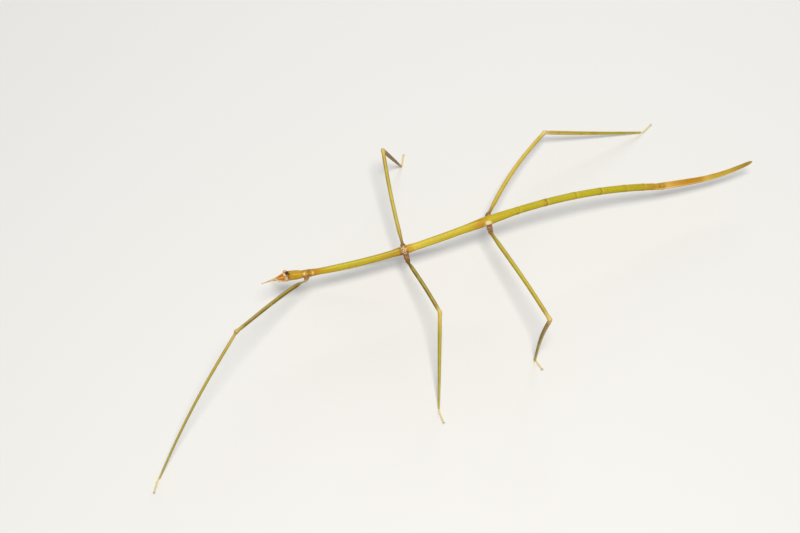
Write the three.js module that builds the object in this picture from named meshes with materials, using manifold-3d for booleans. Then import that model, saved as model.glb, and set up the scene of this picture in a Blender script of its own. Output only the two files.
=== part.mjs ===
// A giant stick insect at life size: a female with a long keeled plate under the tip of her abdomen.
// Millimetres, +Z up, head toward -X, her left side toward -Y, feet on the plane z = 0.

import * as THREE from 'three';
import { mergeVertices } from 'three/addons/utils/BufferGeometryUtils.js';
import Module from 'manifold-3d';

const wasm = await Module();
wasm.setup();

// ---------------------------------------------------------------------------------------------
// Driving dimensions. Places on the trunk are distances along it, from the fore coxae to the tail.

const GAP = 0.3;                    // clearance between touching pieces
const STANCE_HEIGHT = 41.2;         // height of the trunk's middle line over the fore coxae

const HEAD_LENGTH = 13.6;
const NECK_AT = -2.7;               // where the head meets the prothorax
const PROTHORAX_END = 2.8;
const MESOTHORAX_END = 56.2;
const METATHORAX_END = 86.5;
const MEDIAN_SEGMENT_END = 103;     // the first ring of the abdomen, fused to the thorax
const ABDOMEN_LENGTHS = [15.5, 15.3, 16.3, 15.1, 15.4, 11.9, 6.4, 3.7, 3.4];   // rings 2 to 10
const OPERCULUM_LENGTH = 66.5;
const OPERCULUM_LAP = 13.7;         // how far it reaches forward under the last rings
const ANTENNA_LENGTH = 8.0;

const MID_COXA_AT = 54.2;
const HIND_COXA_AT = 101.1;

// Slope of the trunk's middle line in degrees, positive where it rises toward the tail. It changes
// steadily from each place to the next.
const HEAD_PITCH = -8.5;
const HEAD_YAW = -5;                // turned a little to her right
const TRUNK_PITCHES = [
  [-4, -13.6], [6, -10.6], [20, -6.4], [36, -1.7], [48, 1.9], [56, 4.2], [68, 7.0], [84, 9.2],
  [100, 9.3], [115, 5.1], [130, -0.4], [145, -6.2], [160, -12.0], [175, -17.1], [190, -21.5],
  [206, -26.0],
];
const OPERCULUM_PITCHES = [
  [0, -17.1], [OPERCULUM_LENGTH / 2, -9.8], [OPERCULUM_LENGTH, 23.2],
];

const TRUNK_END = ABDOMEN_LENGTHS.reduce((sum, length) => sum + length, MEDIAN_SEGMENT_END);

// Half width of the trunk at places along it. It swells where the legs are set in.
const TRUNK_HALF_WIDTHS = [
  [NECK_AT, 2.05], [0, 2.1], [7, 1.76], [18, 1.9], [46, 1.9], [MID_COXA_AT, 2.4], [61, 2.05],
  [84, 2.12], [HIND_COXA_AT - 1, 2.6], [107, 2.3], [118, 1.95], [190, 1.9], [TRUNK_END, 1.62],
];
const THORAX_FLATNESS = 0.94;       // half height against half width
const ABDOMEN_FLATNESS = 1.02;
const RING_SWELL = 0.14;            // how far the hind edge of an abdominal ring stands out
const RING_SWELL_LENGTH = 1.3;

// Sizes of one leg of each pair. A femur thickens to its full radius over the root part of its
// length and then loses the part named by its taper. A coxa has a radius at its root and shoulder,
// and its trochanter one at its root and tip.
const LEG_PAIRS = {
  fore: {
    station: 0, femur: 74.7, tibia: 100.5, tarsus: 7.4,
    femurRadius: 1.04, femurRootRadius: 0.42, femurRootPart: 0.1, femurTaper: 0.14,
    tibiaRadius: 0.8, tibiaTipRadius: 0.5,
    coxaRadii: [1.5, 1.45, 1.0, 0.6],
  },
  mid: {
    station: MID_COXA_AT, femur: 51, tibia: 60.3, tarsus: 7.6,
    femurRadius: 1.08, femurRootRadius: 0.78, femurRootPart: 0.14, femurTaper: 0.03,
    tibiaRadius: 1.07, tibiaTipRadius: 0.56,
    coxaRadii: [1.6, 1.55, 1.35, 1.0],
  },
  hind: {
    station: HIND_COXA_AT, femur: 72.9, tibia: 60.7, tarsus: 8.2,
    femurRadius: 1.16, femurRootRadius: 0.88, femurRootPart: 0.14, femurTaper: 0.06,
    tibiaRadius: 1.08, tibiaTipRadius: 0.54,
    coxaRadii: [1.65, 1.55, 1.35, 1.08],
  },
};

// How far a coxa reaches sideways and down from the trunk's middle line, and how far its end is
// swung toward the tail.
const SPREAD_COXAE = {
  fore: { reach: 2.85, drop: 0.73 },
  mid: { reach: 4.46, drop: 3.53 },
  hind: { reach: 4.85, drop: 3.04 },
};
const RAISED_MID_COXA = { reach: 3.6, drop: 2.1 };
const TUCKED_COXA = { reach: 2.0, drop: 3.95 };

// Stance of each leg in degrees. Headings turn from the tail (0) through her flank (90) to the
// head (180). A bow is how far, in millimetres, the middle stands out from the straight line, and
// a sag how far it hangs down, and a sway how far it stands out across the plane of the knee. A
// skew under 1 puts the bow nearer to the root.
// The right foreleg is drawn back and folded under the thorax, the other five are spread.
const LEGS = [
  {
    name: 'fore_left', pair: 'fore', side: -1, coxa: SPREAD_COXAE.fore, coxaSwing: -1.1,
    femurHeading: 138.1, femurLift: 35.2, femurBow: 1.3, bowSkew: 0.55,
    tibiaHeading: 154.5, tibiaBow: -1.6, tibiaSway: -1.3, tarsusHeading: 120,
  },
  {
    name: 'fore_right', pair: 'fore', side: 1, coxa: TUCKED_COXA, coxaSwing: 4.2,
    femurHeading: 1.0, femurLift: -3.1, femurBow: 0, femurSag: 2.2,
    tibiaHeading: 168.2, tibiaBow: 0, tibiaSway: -1.4, tarsusHeading: 11,
  },
  {
    name: 'mid_left', pair: 'mid', side: -1, coxa: SPREAD_COXAE.mid, coxaSwing: 0,
    femurHeading: 87.6, femurLift: 27.1, femurBow: -0.4,
    tibiaHeading: 107.7, tibiaBow: 0, tarsusHeading: 88,
  },
  {
    name: 'mid_right', pair: 'mid', side: 1, coxa: RAISED_MID_COXA, coxaSwing: 0.2,
    femurHeading: 84.9, femurLift: 25.1, femurBow: 0.7,
    tibiaHeading: 51.2, tibiaBow: 0, tarsusHeading: 64.2,
  },
  {
    name: 'hind_left', pair: 'hind', side: -1, coxa: SPREAD_COXAE.hind, coxaSwing: -0.4,
    femurHeading: 85, femurLift: 17.9, femurBow: -0.55, bowSkew: 1.2,
    tibiaHeading: 265, tibiaBow: 1.6, tarsusHeading: 75.9,
  },
  {
    name: 'hind_right', pair: 'hind', side: 1, coxa: SPREAD_COXAE.hind, coxaSwing: 1.6,
    femurHeading: 44.5, femurLift: -13.5, femurBow: 2.25,
    tibiaHeading: -3.3, tibiaBow: 0.45, tarsusHeading: 29.4,
  },
];

const TROCHANTER_REACH = 1.6;
const KNEE_RADIUS_FACTOR = 1.1;     // knee bulb against the femur
const HINGE_FOLD_LIMIT = 115;       // past this bend the tibia starts beside the knee
const HINGE_FOLDED_ANGLE = 78;
const ANKLE_HEIGHT = 1.3;
const SOLE_HEIGHT = 0.3;            // middle line of the foot over the floor

const TRUNK_SIDES = 16;
const LEG_SIDES = 8;

// ---------------------------------------------------------------------------------------------
// Small helpers

const UP = new THREE.Vector3(0, 0, 1);
const radians = THREE.MathUtils.degToRad;
const lerp = THREE.MathUtils.lerp;
const smoothstep = THREE.MathUtils.smoothstep;

function bump(x, centre, width) {
  return Math.exp(-(((x - centre) / width) ** 2));
}

// Value between [place, value] pairs, eased or on straight lines.
function along(table, x, eased = true) {
  const last = table.length - 1;
  if (x <= table[0][0]) return table[0][1];
  for (let i = 0; i < last; i += 1) {
    const [x0, y0] = table[i];
    const [x1, y1] = table[i + 1];
    if (x <= x1) return lerp(y0, y1, eased ? smoothstep(x, x0, x1) : (x - x0) / (x1 - x0));
  }
  return table[last][1];
}

// Unit vector at a heading on one side of the body, raised by a lift angle.
function pointing(side, heading, lift) {
  const flat = Math.cos(radians(lift));
  return new THREE.Vector3(
    flat * Math.cos(radians(heading)),
    side * flat * Math.sin(radians(heading)),
    Math.sin(radians(lift)),
  );
}

// A closed skin over a row of rings that all have the same number of points.
function loft(rings) {
  const sides = rings[0].length;
  const positions = rings.flat().flatMap((p) => [p.x, p.y, p.z]);
  const index = [];
  for (let i = 0; i < rings.length - 1; i += 1) {
    for (let j = 0; j < sides; j += 1) {
      const k = (j + 1) % sides;
      const a = i * sides + j;
      const b = i * sides + k;
      index.push(a, b, b + sides, a, b + sides, a + sides);
    }
  }
  for (const [row, flip] of [[0, true], [rings.length - 1, false]]) {
    const middle = new THREE.Vector3();
    rings[row].forEach((p) => middle.addScaledVector(p, 1 / sides));
    const centre = positions.length / 3;
    positions.push(middle.x, middle.y, middle.z);
    for (let j = 0; j < sides; j += 1) {
      const a = row * sides + j;
      const b = row * sides + ((j + 1) % sides);
      index.push(centre, flip ? b : a, flip ? a : b);
    }
  }
  const geometry = new THREE.BufferGeometry();
  geometry.setAttribute('position', new THREE.Float32BufferAttribute(positions, 3));
  geometry.setIndex(index);
  return geometry;
}

// One ring of points around a place, square to the direction it looks along.
function ring(place, ahead, halfWidth, halfHeight, sides, turn = 0) {
  const across = new THREE.Vector3().crossVectors(UP, ahead);
  if (across.lengthSq() < 1e-6) across.set(0, 1, 0);
  across.normalize().negate();
  const above = new THREE.Vector3().crossVectors(ahead, across).negate().normalize();
  const points = [];
  for (let j = 0; j < sides; j += 1) {
    const angle = turn + (2 * Math.PI * j) / sides;
    points.push(place.clone()
      .addScaledVector(across, -halfWidth * Math.cos(angle))
      .addScaledVector(above, halfHeight * Math.sin(angle)));
  }
  return points;
}

// A rod along a path of points. Its radius is a function of the point's number, as a part of the
// last one's and as it is.
function rod(path, radiusAt, sides = LEG_SIDES) {
  const turn = Math.PI / sides;
  const rings = path.map((place, i) => {
    const before = path[Math.max(i - 1, 0)];
    const after = path[Math.min(i + 1, path.length - 1)];
    const ahead = new THREE.Vector3().subVectors(after, before).normalize();
    const radius = radiusAt(i / (path.length - 1), i);
    return ring(place, ahead, radius, radius, sides, turn);
  });
  return loft(rings);
}

function toSolid(geometry) {
  const bare = geometry.clone();
  bare.deleteAttribute('normal');
  bare.deleteAttribute('uv');
  const merged = mergeVertices(bare, 1e-4);
  return new wasm.Manifold(new wasm.Mesh({
    numProp: 3,
    vertProperties: new Float32Array(merged.attributes.position.array),
    triVerts: new Uint32Array(merged.index.array),
  }));
}

function toGeometry(solid) {
  const mesh = solid.getMesh();
  const geometry = new THREE.BufferGeometry();
  geometry.setAttribute('position', new THREE.BufferAttribute(mesh.vertProperties, 3));
  geometry.setIndex(new THREE.BufferAttribute(mesh.triVerts, 1));
  return geometry;
}

function cutBy(geometry, ...neighbours) {
  let solid = toSolid(geometry);
  for (const neighbour of neighbours) solid = solid.subtract(toSolid(neighbour));
  return toGeometry(solid);
}

function joined(...geometries) {
  return toGeometry(geometries.map(toSolid).reduce((whole, piece) => whole.add(piece)));
}

const group = new THREE.Group();

function add(name, geometry, material) {
  geometry.computeVertexNormals();
  const mesh = new THREE.Mesh(geometry, material.clone());
  mesh.name = name;
  group.add(mesh);
}

function cuticle(color, roughness = 0.5) {
  return new THREE.MeshStandardMaterial({ color, roughness, metalness: 0 });
}

const YELLOW = cuticle(0xc9a93a);
const STRAW = cuticle(0xd6c374);
const LIME = cuticle(0xa7b23c);
const ORANGE = cuticle(0xc98a3c);
const CREAM = cuticle(0xe6d6a4);
const OLIVE = cuticle(0x9a8f45);
const BROWN = cuticle(0x7c4f2c);
const CORNEA = cuticle(0xdccb96, 0.3);

// ---------------------------------------------------------------------------------------------
// Trunk: a middle line with a gentle sag, and an oval section that swells at the leg roots

function trunkPitch(s) {
  return along(TRUNK_PITCHES, s, false);
}

const WALK_STEP = 0.5;

// Walks along a line of changing slope and gives the place and direction at a distance.
function walk(start, distance, slopeAt, yaw = 0) {
  const place = start.clone();
  const steps = Math.max(1, Math.ceil(Math.abs(distance) / WALK_STEP));
  const step = distance / steps;
  const ahead = new THREE.Vector3();
  for (let i = 0; i <= steps; i += 1) {
    const slope = radians(slopeAt((i + (i < steps ? 0.5 : 0)) * step));
    const flat = Math.cos(slope);
    ahead.set(flat * Math.cos(radians(yaw)), flat * Math.sin(radians(yaw)), Math.sin(slope));
    if (i < steps) place.addScaledVector(ahead, step);
  }
  return { place, ahead };
}

const TRUNK_ORIGIN = new THREE.Vector3(0, 0, STANCE_HEIGHT);

function trunkAt(s) {
  return walk(TRUNK_ORIGIN, s, trunkPitch);
}

function trunkPiece(from, to, steps, swell = 0, extra = 0) {
  const rings = [];
  for (let i = 0; i <= steps; i += 1) {
    const s = lerp(from, to, i / steps);
    const { place, ahead } = trunkAt(s);
    const halfWidth = along(TRUNK_HALF_WIDTHS, s) + extra + swell * bump(s, to, RING_SWELL_LENGTH);
    const halfHeight = halfWidth * (s > MEDIAN_SEGMENT_END ? ABDOMEN_FLATNESS : THORAX_FLATNESS);
    rings.push(ring(place, ahead, halfWidth, halfHeight, TRUNK_SIDES));
  }
  return loft(rings);
}

// Name, hind end, number of steps, swelling of the hind edge and finish, from the neck back.
const TRUNK_PIECES = [
  ['prothorax', PROTHORAX_END, 5, 0, ORANGE],
  ['mesothorax', MESOTHORAX_END, 14, 0, YELLOW],
  ['metathorax', METATHORAX_END, 8, 0, STRAW],
  ['median_segment', MEDIAN_SEGMENT_END, 7, 0, STRAW],
];
let ringEnd = MEDIAN_SEGMENT_END;
ABDOMEN_LENGTHS.forEach((length, i) => {
  ringEnd += length;
  TRUNK_PIECES.push([`abdomen_${i + 2}`, ringEnd, length > 10 ? 5 : 3, RING_SWELL, LIME]);
});

let pieceStart = NECK_AT;
for (const [name, end, steps, swell, finish] of TRUNK_PIECES) {
  add(name, trunkPiece(pieceStart + GAP / 2, end - GAP / 2, steps, swell), finish);
  pieceStart = end;
}

// ---------------------------------------------------------------------------------------------
// Head: an egg that narrows forward into the face, with eyes, feelers and mouthparts

const neck = walk(TRUNK_ORIGIN, NECK_AT, trunkPitch).place;

function headAt(u) {
  return walk(neck, -u * HEAD_LENGTH, () => HEAD_PITCH, HEAD_YAW);
}

// Half width, height over and depth under the middle line, and how far that line is raised, from
// the neck (0) to the face (1).
const HEAD_WIDTHS = [[0, 2.1], [0.25, 2.55], [0.55, 2.62], [0.74, 2.15], [0.88, 1.4], [1, 0.8]];
const HEAD_TOPS = [[0, 2.0], [0.3, 2.35], [0.64, 2.4], [0.82, 1.65], [1, 0.7]];
const HEAD_DEPTHS = [[0, 2.0], [0.3, 2.3], [0.6, 2.3], [0.76, 1.9], [0.88, 1.4], [1, 0.6]];
const HEAD_RISES = [[0, 0], [0.4, 0.1], [0.65, 0], [1, -1.2]];
const HEAD_STEPS = 13;

function headShape(extra = 0) {
  const rings = [];
  for (let i = HEAD_STEPS; i >= 0; i -= 1) {
    const u = i / HEAD_STEPS;
    const { place, ahead } = headAt(Math.max(u, GAP / 2 / HEAD_LENGTH));
    place.z += along(HEAD_RISES, u);
    const top = along(HEAD_TOPS, u) + extra;
    const depth = along(HEAD_DEPTHS, u) + extra;
    const points = ring(place, ahead, along(HEAD_WIDTHS, u) + extra, 1, TRUNK_SIDES);
    points.forEach((point) => {
      point.z = place.z + (point.z - place.z) * (point.z > place.z ? top : depth);
    });
    rings.push(points);
  }
  return loft(rings);
}

add('head', headShape(), YELLOW);
const headClearance = headShape(GAP * 0.7);

// A ball stretched along the head's own axes, leaned back, and set at a place on it.
function headBall(u, sideways, lift, lengths, lean = 0, segments = [12, 8]) {
  const { place, ahead } = headAt(u);
  const across = new THREE.Vector3().crossVectors(UP, ahead).normalize();
  const above = new THREE.Vector3().crossVectors(ahead, across).normalize();
  const geometry = new THREE.SphereGeometry(1, ...segments);
  geometry.scale(...lengths);
  geometry.rotateY(radians(lean));
  geometry.applyMatrix4(new THREE.Matrix4().makeBasis(ahead, across, above));
  place.addScaledVector(across, sideways).addScaledVector(above, lift);
  geometry.translate(place.x, place.y, place.z);
  return geometry;
}

const SIDES = [['left', -1], ['right', 1]];
const EYE = { at: 0.655, sideways: 2.1, lift: 1.0, lengths: [1.1, 1.0, 1.4], lean: -25 };

for (const [name, side] of SIDES) {
  const ball = headBall(EYE.at, side * EYE.sideways, EYE.lift, EYE.lengths, EYE.lean);
  add(`eye_${name}`, cutBy(ball, headClearance), CORNEA);
}

// Feelers: short and slim, held forward close together, the right one drooping more. Each has a
// stout first joint.
const ANTENNA_STEPS = [0, 0.08, 0.2, 0.26, 0.5, 0.75, 1];
const ANTENNA_RADII = [[0, 0.4], [0.2, 0.37], [0.26, 0.34], [1, 0.2]];
const ANTENNA_ROOT = { at: 0.9, sideways: 0.42, lift: -0.88 };
const ANTENNA_DROPS = { left: 0.02, right: 0.2 };

for (const [name, side] of SIDES) {
  const root = headAt(ANTENNA_ROOT.at).place;
  root.y += side * ANTENNA_ROOT.sideways;
  root.z += ANTENNA_ROOT.lift;
  const path = ANTENNA_STEPS.map((t) => {
    const reach = t * (ANTENNA_LENGTH + (1 - ANTENNA_ROOT.at) * HEAD_LENGTH);
    return root.clone().add(new THREE.Vector3(-reach, 0, -ANTENNA_DROPS[name] * reach));
  });
  const feeler = rod(path, (t, i) => along(ANTENNA_RADII, ANTENNA_STEPS[i]));
  add(`antenna_${name}`, cutBy(feeler, headClearance), CREAM);
}

// Mouthparts: the jaws at the sides, the lower lip between them and a pair of palps.
const JAW = { at: 0.7, sideways: 1.25, lift: -1.85, lengths: [2.4, 1.05, 1.25], segments: [9, 6] };
const LIP = { at: 0.76, lift: -2.0, lengths: [2.5, 1.3, 1.15], segments: [8, 6] };
const jaws = SIDES.map(([, side]) => headBall(
  JAW.at, side * JAW.sideways, JAW.lift, JAW.lengths, 0, JAW.segments));
const lip = headBall(LIP.at, 0, LIP.lift, LIP.lengths, 0, LIP.segments);
const PALP = { at: 0.84, sideways: 0.9, lift: -2.3, length: 1.9, spread: 0.4, droop: 0.5 };
const PALP_RADII = [0.38, 0.32, 0.26];
const palps = SIDES.map(([, side]) => {
  const root = headAt(PALP.at).place.add(new THREE.Vector3(0, side * PALP.sideways, PALP.lift));
  const path = [0, 0.5, 1].map((t) => root.clone().add(new THREE.Vector3(
    -PALP.length * t, side * PALP.spread * t, -PALP.droop * Math.sin(Math.PI * t))));
  return rod(path, (t, i) => PALP_RADII[i], 5);
});
add('mouthparts', cutBy(joined(...jaws, lip, ...palps), headClearance), CREAM);

// ---------------------------------------------------------------------------------------------
// Tail: the cerci, and the long boat-shaped operculum that carries the eggs past the abdomen

const CERCUS = { sideways: 0.75, length: 1.9, curl: 0.35, rootRadius: 0.4, tipRadius: 0.22 };

function cercusPath(side, start, length) {
  const { place, ahead } = trunkAt(start);
  const across = new THREE.Vector3(0, side, 0);
  place.addScaledVector(across, CERCUS.sideways);
  return [0, 0.35, 0.7, 1].map((t) => place.clone()
    .addScaledVector(ahead, length * t)
    .addScaledVector(across, CERCUS.curl * Math.sin(Math.PI * t)));
}

for (const [name, side] of SIDES) {
  const path = cercusPath(side, TRUNK_END + GAP / 2, CERCUS.length);
  add(`cercus_${name}`, rod(path, (t) => lerp(CERCUS.rootRadius, CERCUS.tipRadius, t), 6), CREAM);
}

const OPERCULUM_AT = TRUNK_END - OPERCULUM_LAP;
const OPERCULUM_DROP = 1.4;         // from the trunk's middle line to its own, at its root
const OPERCULUM_WIDTHS = [
  [0, 0.9], [0.1, 1.85], [0.2, 2.05], [0.35, 1.93], [0.6, 1.66], [0.8, 1.42], [0.93, 1.15], [1, 0.6],
];
const OPERCULUM_DEPTHS = [[0, 0.5], [0.1, 1.35], [0.3, 1.65], [0.6, 1.4], [0.85, 1.05], [1, 0.5]];
const OPERCULUM_STEPS = 13;

// Half of a shallow boat's section, from the trough's middle over the rim and down to the keel,
// in half widths and half depths.
const BOAT_SECTION = [[0, 0.2], [0.8, 0.55], [1, 0.35], [0.95, -0.3], [0.5, -0.8], [0, -1.05]];

function operculumRing(t) {
  const start = trunkAt(OPERCULUM_AT).place;
  start.z -= OPERCULUM_DROP;
  const slope = (d) => along(OPERCULUM_PITCHES, d, false);
  const { place, ahead } = walk(start, t * OPERCULUM_LENGTH, slope);
  const across = new THREE.Vector3(0, 1, 0);
  const above = new THREE.Vector3().crossVectors(ahead, across).normalize();
  const rightHalf = BOAT_SECTION.slice(1, -1);
  const leftHalf = rightHalf.map(([x, y]) => [-x, y]);
  const section = [BOAT_SECTION[0], ...leftHalf, BOAT_SECTION.at(-1), ...rightHalf.reverse()];
  return section.map(([x, y]) => place.clone()
    .addScaledVector(across, x * along(OPERCULUM_WIDTHS, t))
    .addScaledVector(above, y * along(OPERCULUM_DEPTHS, t)));
}

const operculumRings = [];
for (let i = 0; i <= OPERCULUM_STEPS; i += 1) operculumRings.push(operculumRing(i / OPERCULUM_STEPS));
const tailClearance = trunkPiece(OPERCULUM_AT - 3, TRUNK_END + GAP, 8, 0, RING_SWELL + GAP);
const cerciClearance = SIDES.map(([, side]) => {
  const path = cercusPath(side, TRUNK_END, CERCUS.length + GAP);
  return rod(path, () => CERCUS.rootRadius + GAP);
});
add('operculum', cutBy(loft(operculumRings), tailClearance, ...cerciClearance), YELLOW);

// ---------------------------------------------------------------------------------------------
// Legs

const thoraxClearance = trunkPiece(NECK_AT - 1, MEDIAN_SEGMENT_END + 4, 40, 0, GAP);

// Points at the given parts of a length along a direction, bowed to one side.
function bowedPath(parts, start, direction, length, bow, skew = 1) {
  return parts.map((t) => start.clone()
    .addScaledVector(direction, t * length)
    .addScaledVector(bow, Math.sin(Math.PI * t ** skew)));
}

// Where the tibia starts, just clear of the knee's bulb on the side that it turns to. A tibia that
// is folded back along the femur lies beside it.
function hingePoint(size, knee, femurWay, tibiaWay) {
  const bend = THREE.MathUtils.radToDeg(femurWay.angleTo(tibiaWay));
  const folded = bend > HINGE_FOLD_LIMIT;
  const angle = radians(folded ? HINGE_FOLDED_ANGLE : bend);
  const reach = KNEE_RADIUS_FACTOR * size.femurRadius + GAP + (folded ? size.tibiaRadius : 0);
  const square = tibiaWay.clone().addScaledVector(femurWay, -tibiaWay.dot(femurWay)).normalize();
  return knee.clone()
    .addScaledVector(femurWay, reach * Math.cos(angle))
    .addScaledVector(square, reach * Math.sin(angle));
}

// Direction at a heading that comes down from a place to the ankle's height over a length.
function wayDown(side, heading, from, length) {
  const steepness = Math.min((from.z - ANKLE_HEIGHT) / length, 1);
  return pointing(side, heading, -THREE.MathUtils.radToDeg(Math.asin(steepness)));
}

// Presses the underside of a foot flat on the floor.
function standOnFloor(geometry) {
  const positions = geometry.attributes.position;
  for (let i = 0; i < positions.count; i += 1) {
    positions.setZ(i, Math.max(positions.getZ(i), 0));
  }
  return geometry;
}

const COXA_SIDES = 10;
const COXA_ROOT_PART = 0.24;        // the cone starts this part of the way out of the trunk
const COXA_SHOULDER_PART = 0.62;
const TROCHANTER_BEND_PART = 0.45;

function coxaShape(leg, trunk, coxaEnd, tip) {
  const straightOut = new THREE.Vector3(0, leg.side * leg.coxa.reach, -leg.coxa.drop);
  const inside = trunk.clone().addScaledVector(straightOut, COXA_ROOT_PART);
  const shoulder = inside.clone().lerp(coxaEnd, COXA_SHOULDER_PART);
  const bend = coxaEnd.clone().lerp(tip, TROCHANTER_BEND_PART);
  const cone = rod([inside, shoulder, bend, tip], (t, i) => LEG_PAIRS[leg.pair].coxaRadii[i], COXA_SIDES);
  return cutBy(cone, thoraxClearance);
}

function femurRadiusAt(size, t) {
  const root = smoothstep(t, 0.02, size.femurRootPart);
  const shaft = lerp(size.femurRootRadius, size.femurRadius, root);
  const bulb = (KNEE_RADIUS_FACTOR - 1 + size.femurTaper) * size.femurRadius;
  return shaft * (1 - size.femurTaper * smoothstep(t, 0.2, 0.9)) + bulb * bump(t, 1, 0.03);
}

// Parts of the length where the femur and the tibia have a ring, closest together at the knee.
const FEMUR_PARTS = [0, 0.03, 0.065, 0.11, 0.2, 0.4, 0.6, 0.8, 0.92, 0.97, 1];
const TIBIA_PARTS = [0, 0.025, 0.15, 0.3, 0.45, 0.6, 0.75, 0.88, 1];
const TIBIA_NECK = 0.76;            // the tibia is slimmer where it leaves the knee
const TIBIA_TAPER_CURVE = 1.5;
const TARSUS_RADIUS = 0.46;

// The foot's five joints, each a small bell that widens to its end. The first is the longest.
const TARSOMERE_ENDS = [0.4, 0.58, 0.71, 0.82, 1];
const BELL = [[0.06, 0.84], [0.94, 1.12]];   // place and width, against length and radius
const FOOT_TURN_END = 0.35;         // the foot leaves the tibia's heading over this part of it
const FOOT_DROP_END = 0.3;          // and comes down to the floor over this one
const FOOT_WALK_STEPS = 20;

function footRings(radius) {
  return TARSOMERE_ENDS.flatMap((end, i) => {
    const start = i === 0 ? 0 : TARSOMERE_ENDS[i - 1];
    return BELL.map(([place, width]) => [lerp(start, end, place), radius * width]);
  });
}

function footPoint(t, ankle, legWay, footWay, length) {
  const place = ankle.clone();
  const step = t / FOOT_WALK_STEPS;
  for (let i = 0; i < FOOT_WALK_STEPS; i += 1) {
    const turn = smoothstep(step * (i + 0.5), 0, FOOT_TURN_END);
    place.addScaledVector(legWay.clone().lerp(footWay, turn).normalize(), step * length);
  }
  place.z = lerp(ankle.z, SOLE_HEIGHT, smoothstep(t, 0, FOOT_DROP_END));
  return place;
}

// Claws: a pad between two curved hooks.
const CLAW_SPREAD = 32;
const CLAW_REACHES = [0.15, 0.7, 1.3];
const CLAW_RADII = [0.26, 0.17];
const CLAW_ARCH = 0.25;
const PAD_REACHES = [0, 0.3, 0.6];
const PAD_RADII = [0.36, 0.42, 0.36];

function clawShape(leg, toe, footWay) {
  const pad = rod(PAD_REACHES.map((x) => toe.clone().addScaledVector(footWay, x)),
    (t, i) => PAD_RADII[i], 6);
  const hooks = [-1, 1].map((turn) => {
    const way = pointing(leg.side, leg.tarsusHeading + CLAW_SPREAD * turn, 0);
    const path = CLAW_REACHES.map((x, i) => {
      const point = toe.clone().addScaledVector(way, x);
      point.z += CLAW_ARCH * Math.sin((Math.PI * i) / (CLAW_REACHES.length - 1));
      return point;
    });
    return rod(path, (t) => lerp(...CLAW_RADII, t), 5);
  });
  return joined(pad, ...hooks);
}

function makeLeg(leg) {
  const size = LEG_PAIRS[leg.pair];
  const trunk = trunkAt(size.station).place;
  const femurWay = pointing(leg.side, leg.femurHeading, leg.femurLift);
  const femurFlat = pointing(leg.side, leg.femurHeading, 0);
  const coxaEnd = trunk.clone().add(
    new THREE.Vector3(leg.coxaSwing, leg.side * leg.coxa.reach, -leg.coxa.drop));
  const femurRoot = coxaEnd.clone().addScaledVector(femurFlat, TROCHANTER_REACH);

  // Coxa and trochanter: a short stout cone out of the flank, then a narrow ring
  const tip = femurRoot.clone().addScaledVector(femurFlat, -GAP / 2);
  add(`coxa_${leg.name}`, coxaShape(leg, trunk, coxaEnd, tip), BROWN);

  // Femur, from the trochanter to the bulb of the knee
  const femurBow = pointing(leg.side, leg.femurHeading + 90, 0).multiplyScalar(leg.femurBow);
  femurBow.z -= leg.femurSag ?? 0;
  const start = femurRoot.clone().addScaledVector(femurWay, GAP / 2);
  const femurPath = bowedPath(FEMUR_PARTS, start, femurWay, size.femur, femurBow, leg.bowSkew);
  const femur = rod(femurPath, (t, i) => femurRadiusAt(size, FEMUR_PARTS[i]));
  add(`femur_${leg.name}`, femur, OLIVE);

  // Tibia, from just past the knee down to the ankle
  const knee = femurPath.at(-1);
  const firstWay = wayDown(leg.side, leg.tibiaHeading, knee, size.tibia);
  const hinge = hingePoint(size, knee, femurWay, firstWay);
  const tibiaWay = wayDown(leg.side, leg.tibiaHeading, hinge, size.tibia);
  const swayWay = new THREE.Vector3().crossVectors(femurWay, tibiaWay).normalize();
  const tibiaBow = swayWay.clone().cross(tibiaWay).multiplyScalar(leg.tibiaBow);
  tibiaBow.addScaledVector(swayWay, leg.tibiaSway ?? 0);
  const tibiaPath = bowedPath(TIBIA_PARTS, hinge, tibiaWay, size.tibia, tibiaBow);
  const tibia = rod(tibiaPath, (t, i) => (i === 0 ? TIBIA_NECK : 1) * lerp(
    size.tibiaRadius, size.tibiaTipRadius, TIBIA_PARTS[i] ** TIBIA_TAPER_CURVE));
  add(`tibia_${leg.name}`, tibia, OLIVE);

  // Foot, laid flat on the floor, and its claws
  const ankle = tibiaPath.at(-1).addScaledVector(tibiaWay, GAP);
  const legWay = pointing(leg.side, leg.tibiaHeading, 0);
  const footWay = pointing(leg.side, leg.tarsusHeading, 0);
  const rings = footRings(TARSUS_RADIUS);
  const footPath = rings.map(([t]) => footPoint(t, ankle, legWay, footWay, size.tarsus));
  add(`tarsus_${leg.name}`, standOnFloor(rod(footPath, (t, i) => rings[i][1])), CREAM);
  const toe = footPath.at(-1).clone().addScaledVector(footWay, GAP);
  add(`claws_${leg.name}`, standOnFloor(clawShape(leg, toe, footWay)), BROWN);
}

LEGS.forEach(makeLeg);

// ---------------------------------------------------------------------------------------------
// The origin is the middle of the bounding box, on the floor

const box = new THREE.Box3().setFromObject(group);
const middle = box.getCenter(new THREE.Vector3());
group.position.set(-middle.x, -middle.y, -box.min.z);
group.updateMatrixWorld(true);

export default group;
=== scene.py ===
# A giant stick insect at life size: an adult female with the long egg plate, as a still model.
# Metres, +Z up, head toward -X, her left side toward -Y, feet on the plane z = 0. Sizes of her
# parts are given in millimetres and turned into metres as each mesh is made.

import math

import bpy
import numpy as np
from mathutils import Matrix, Vector


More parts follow.
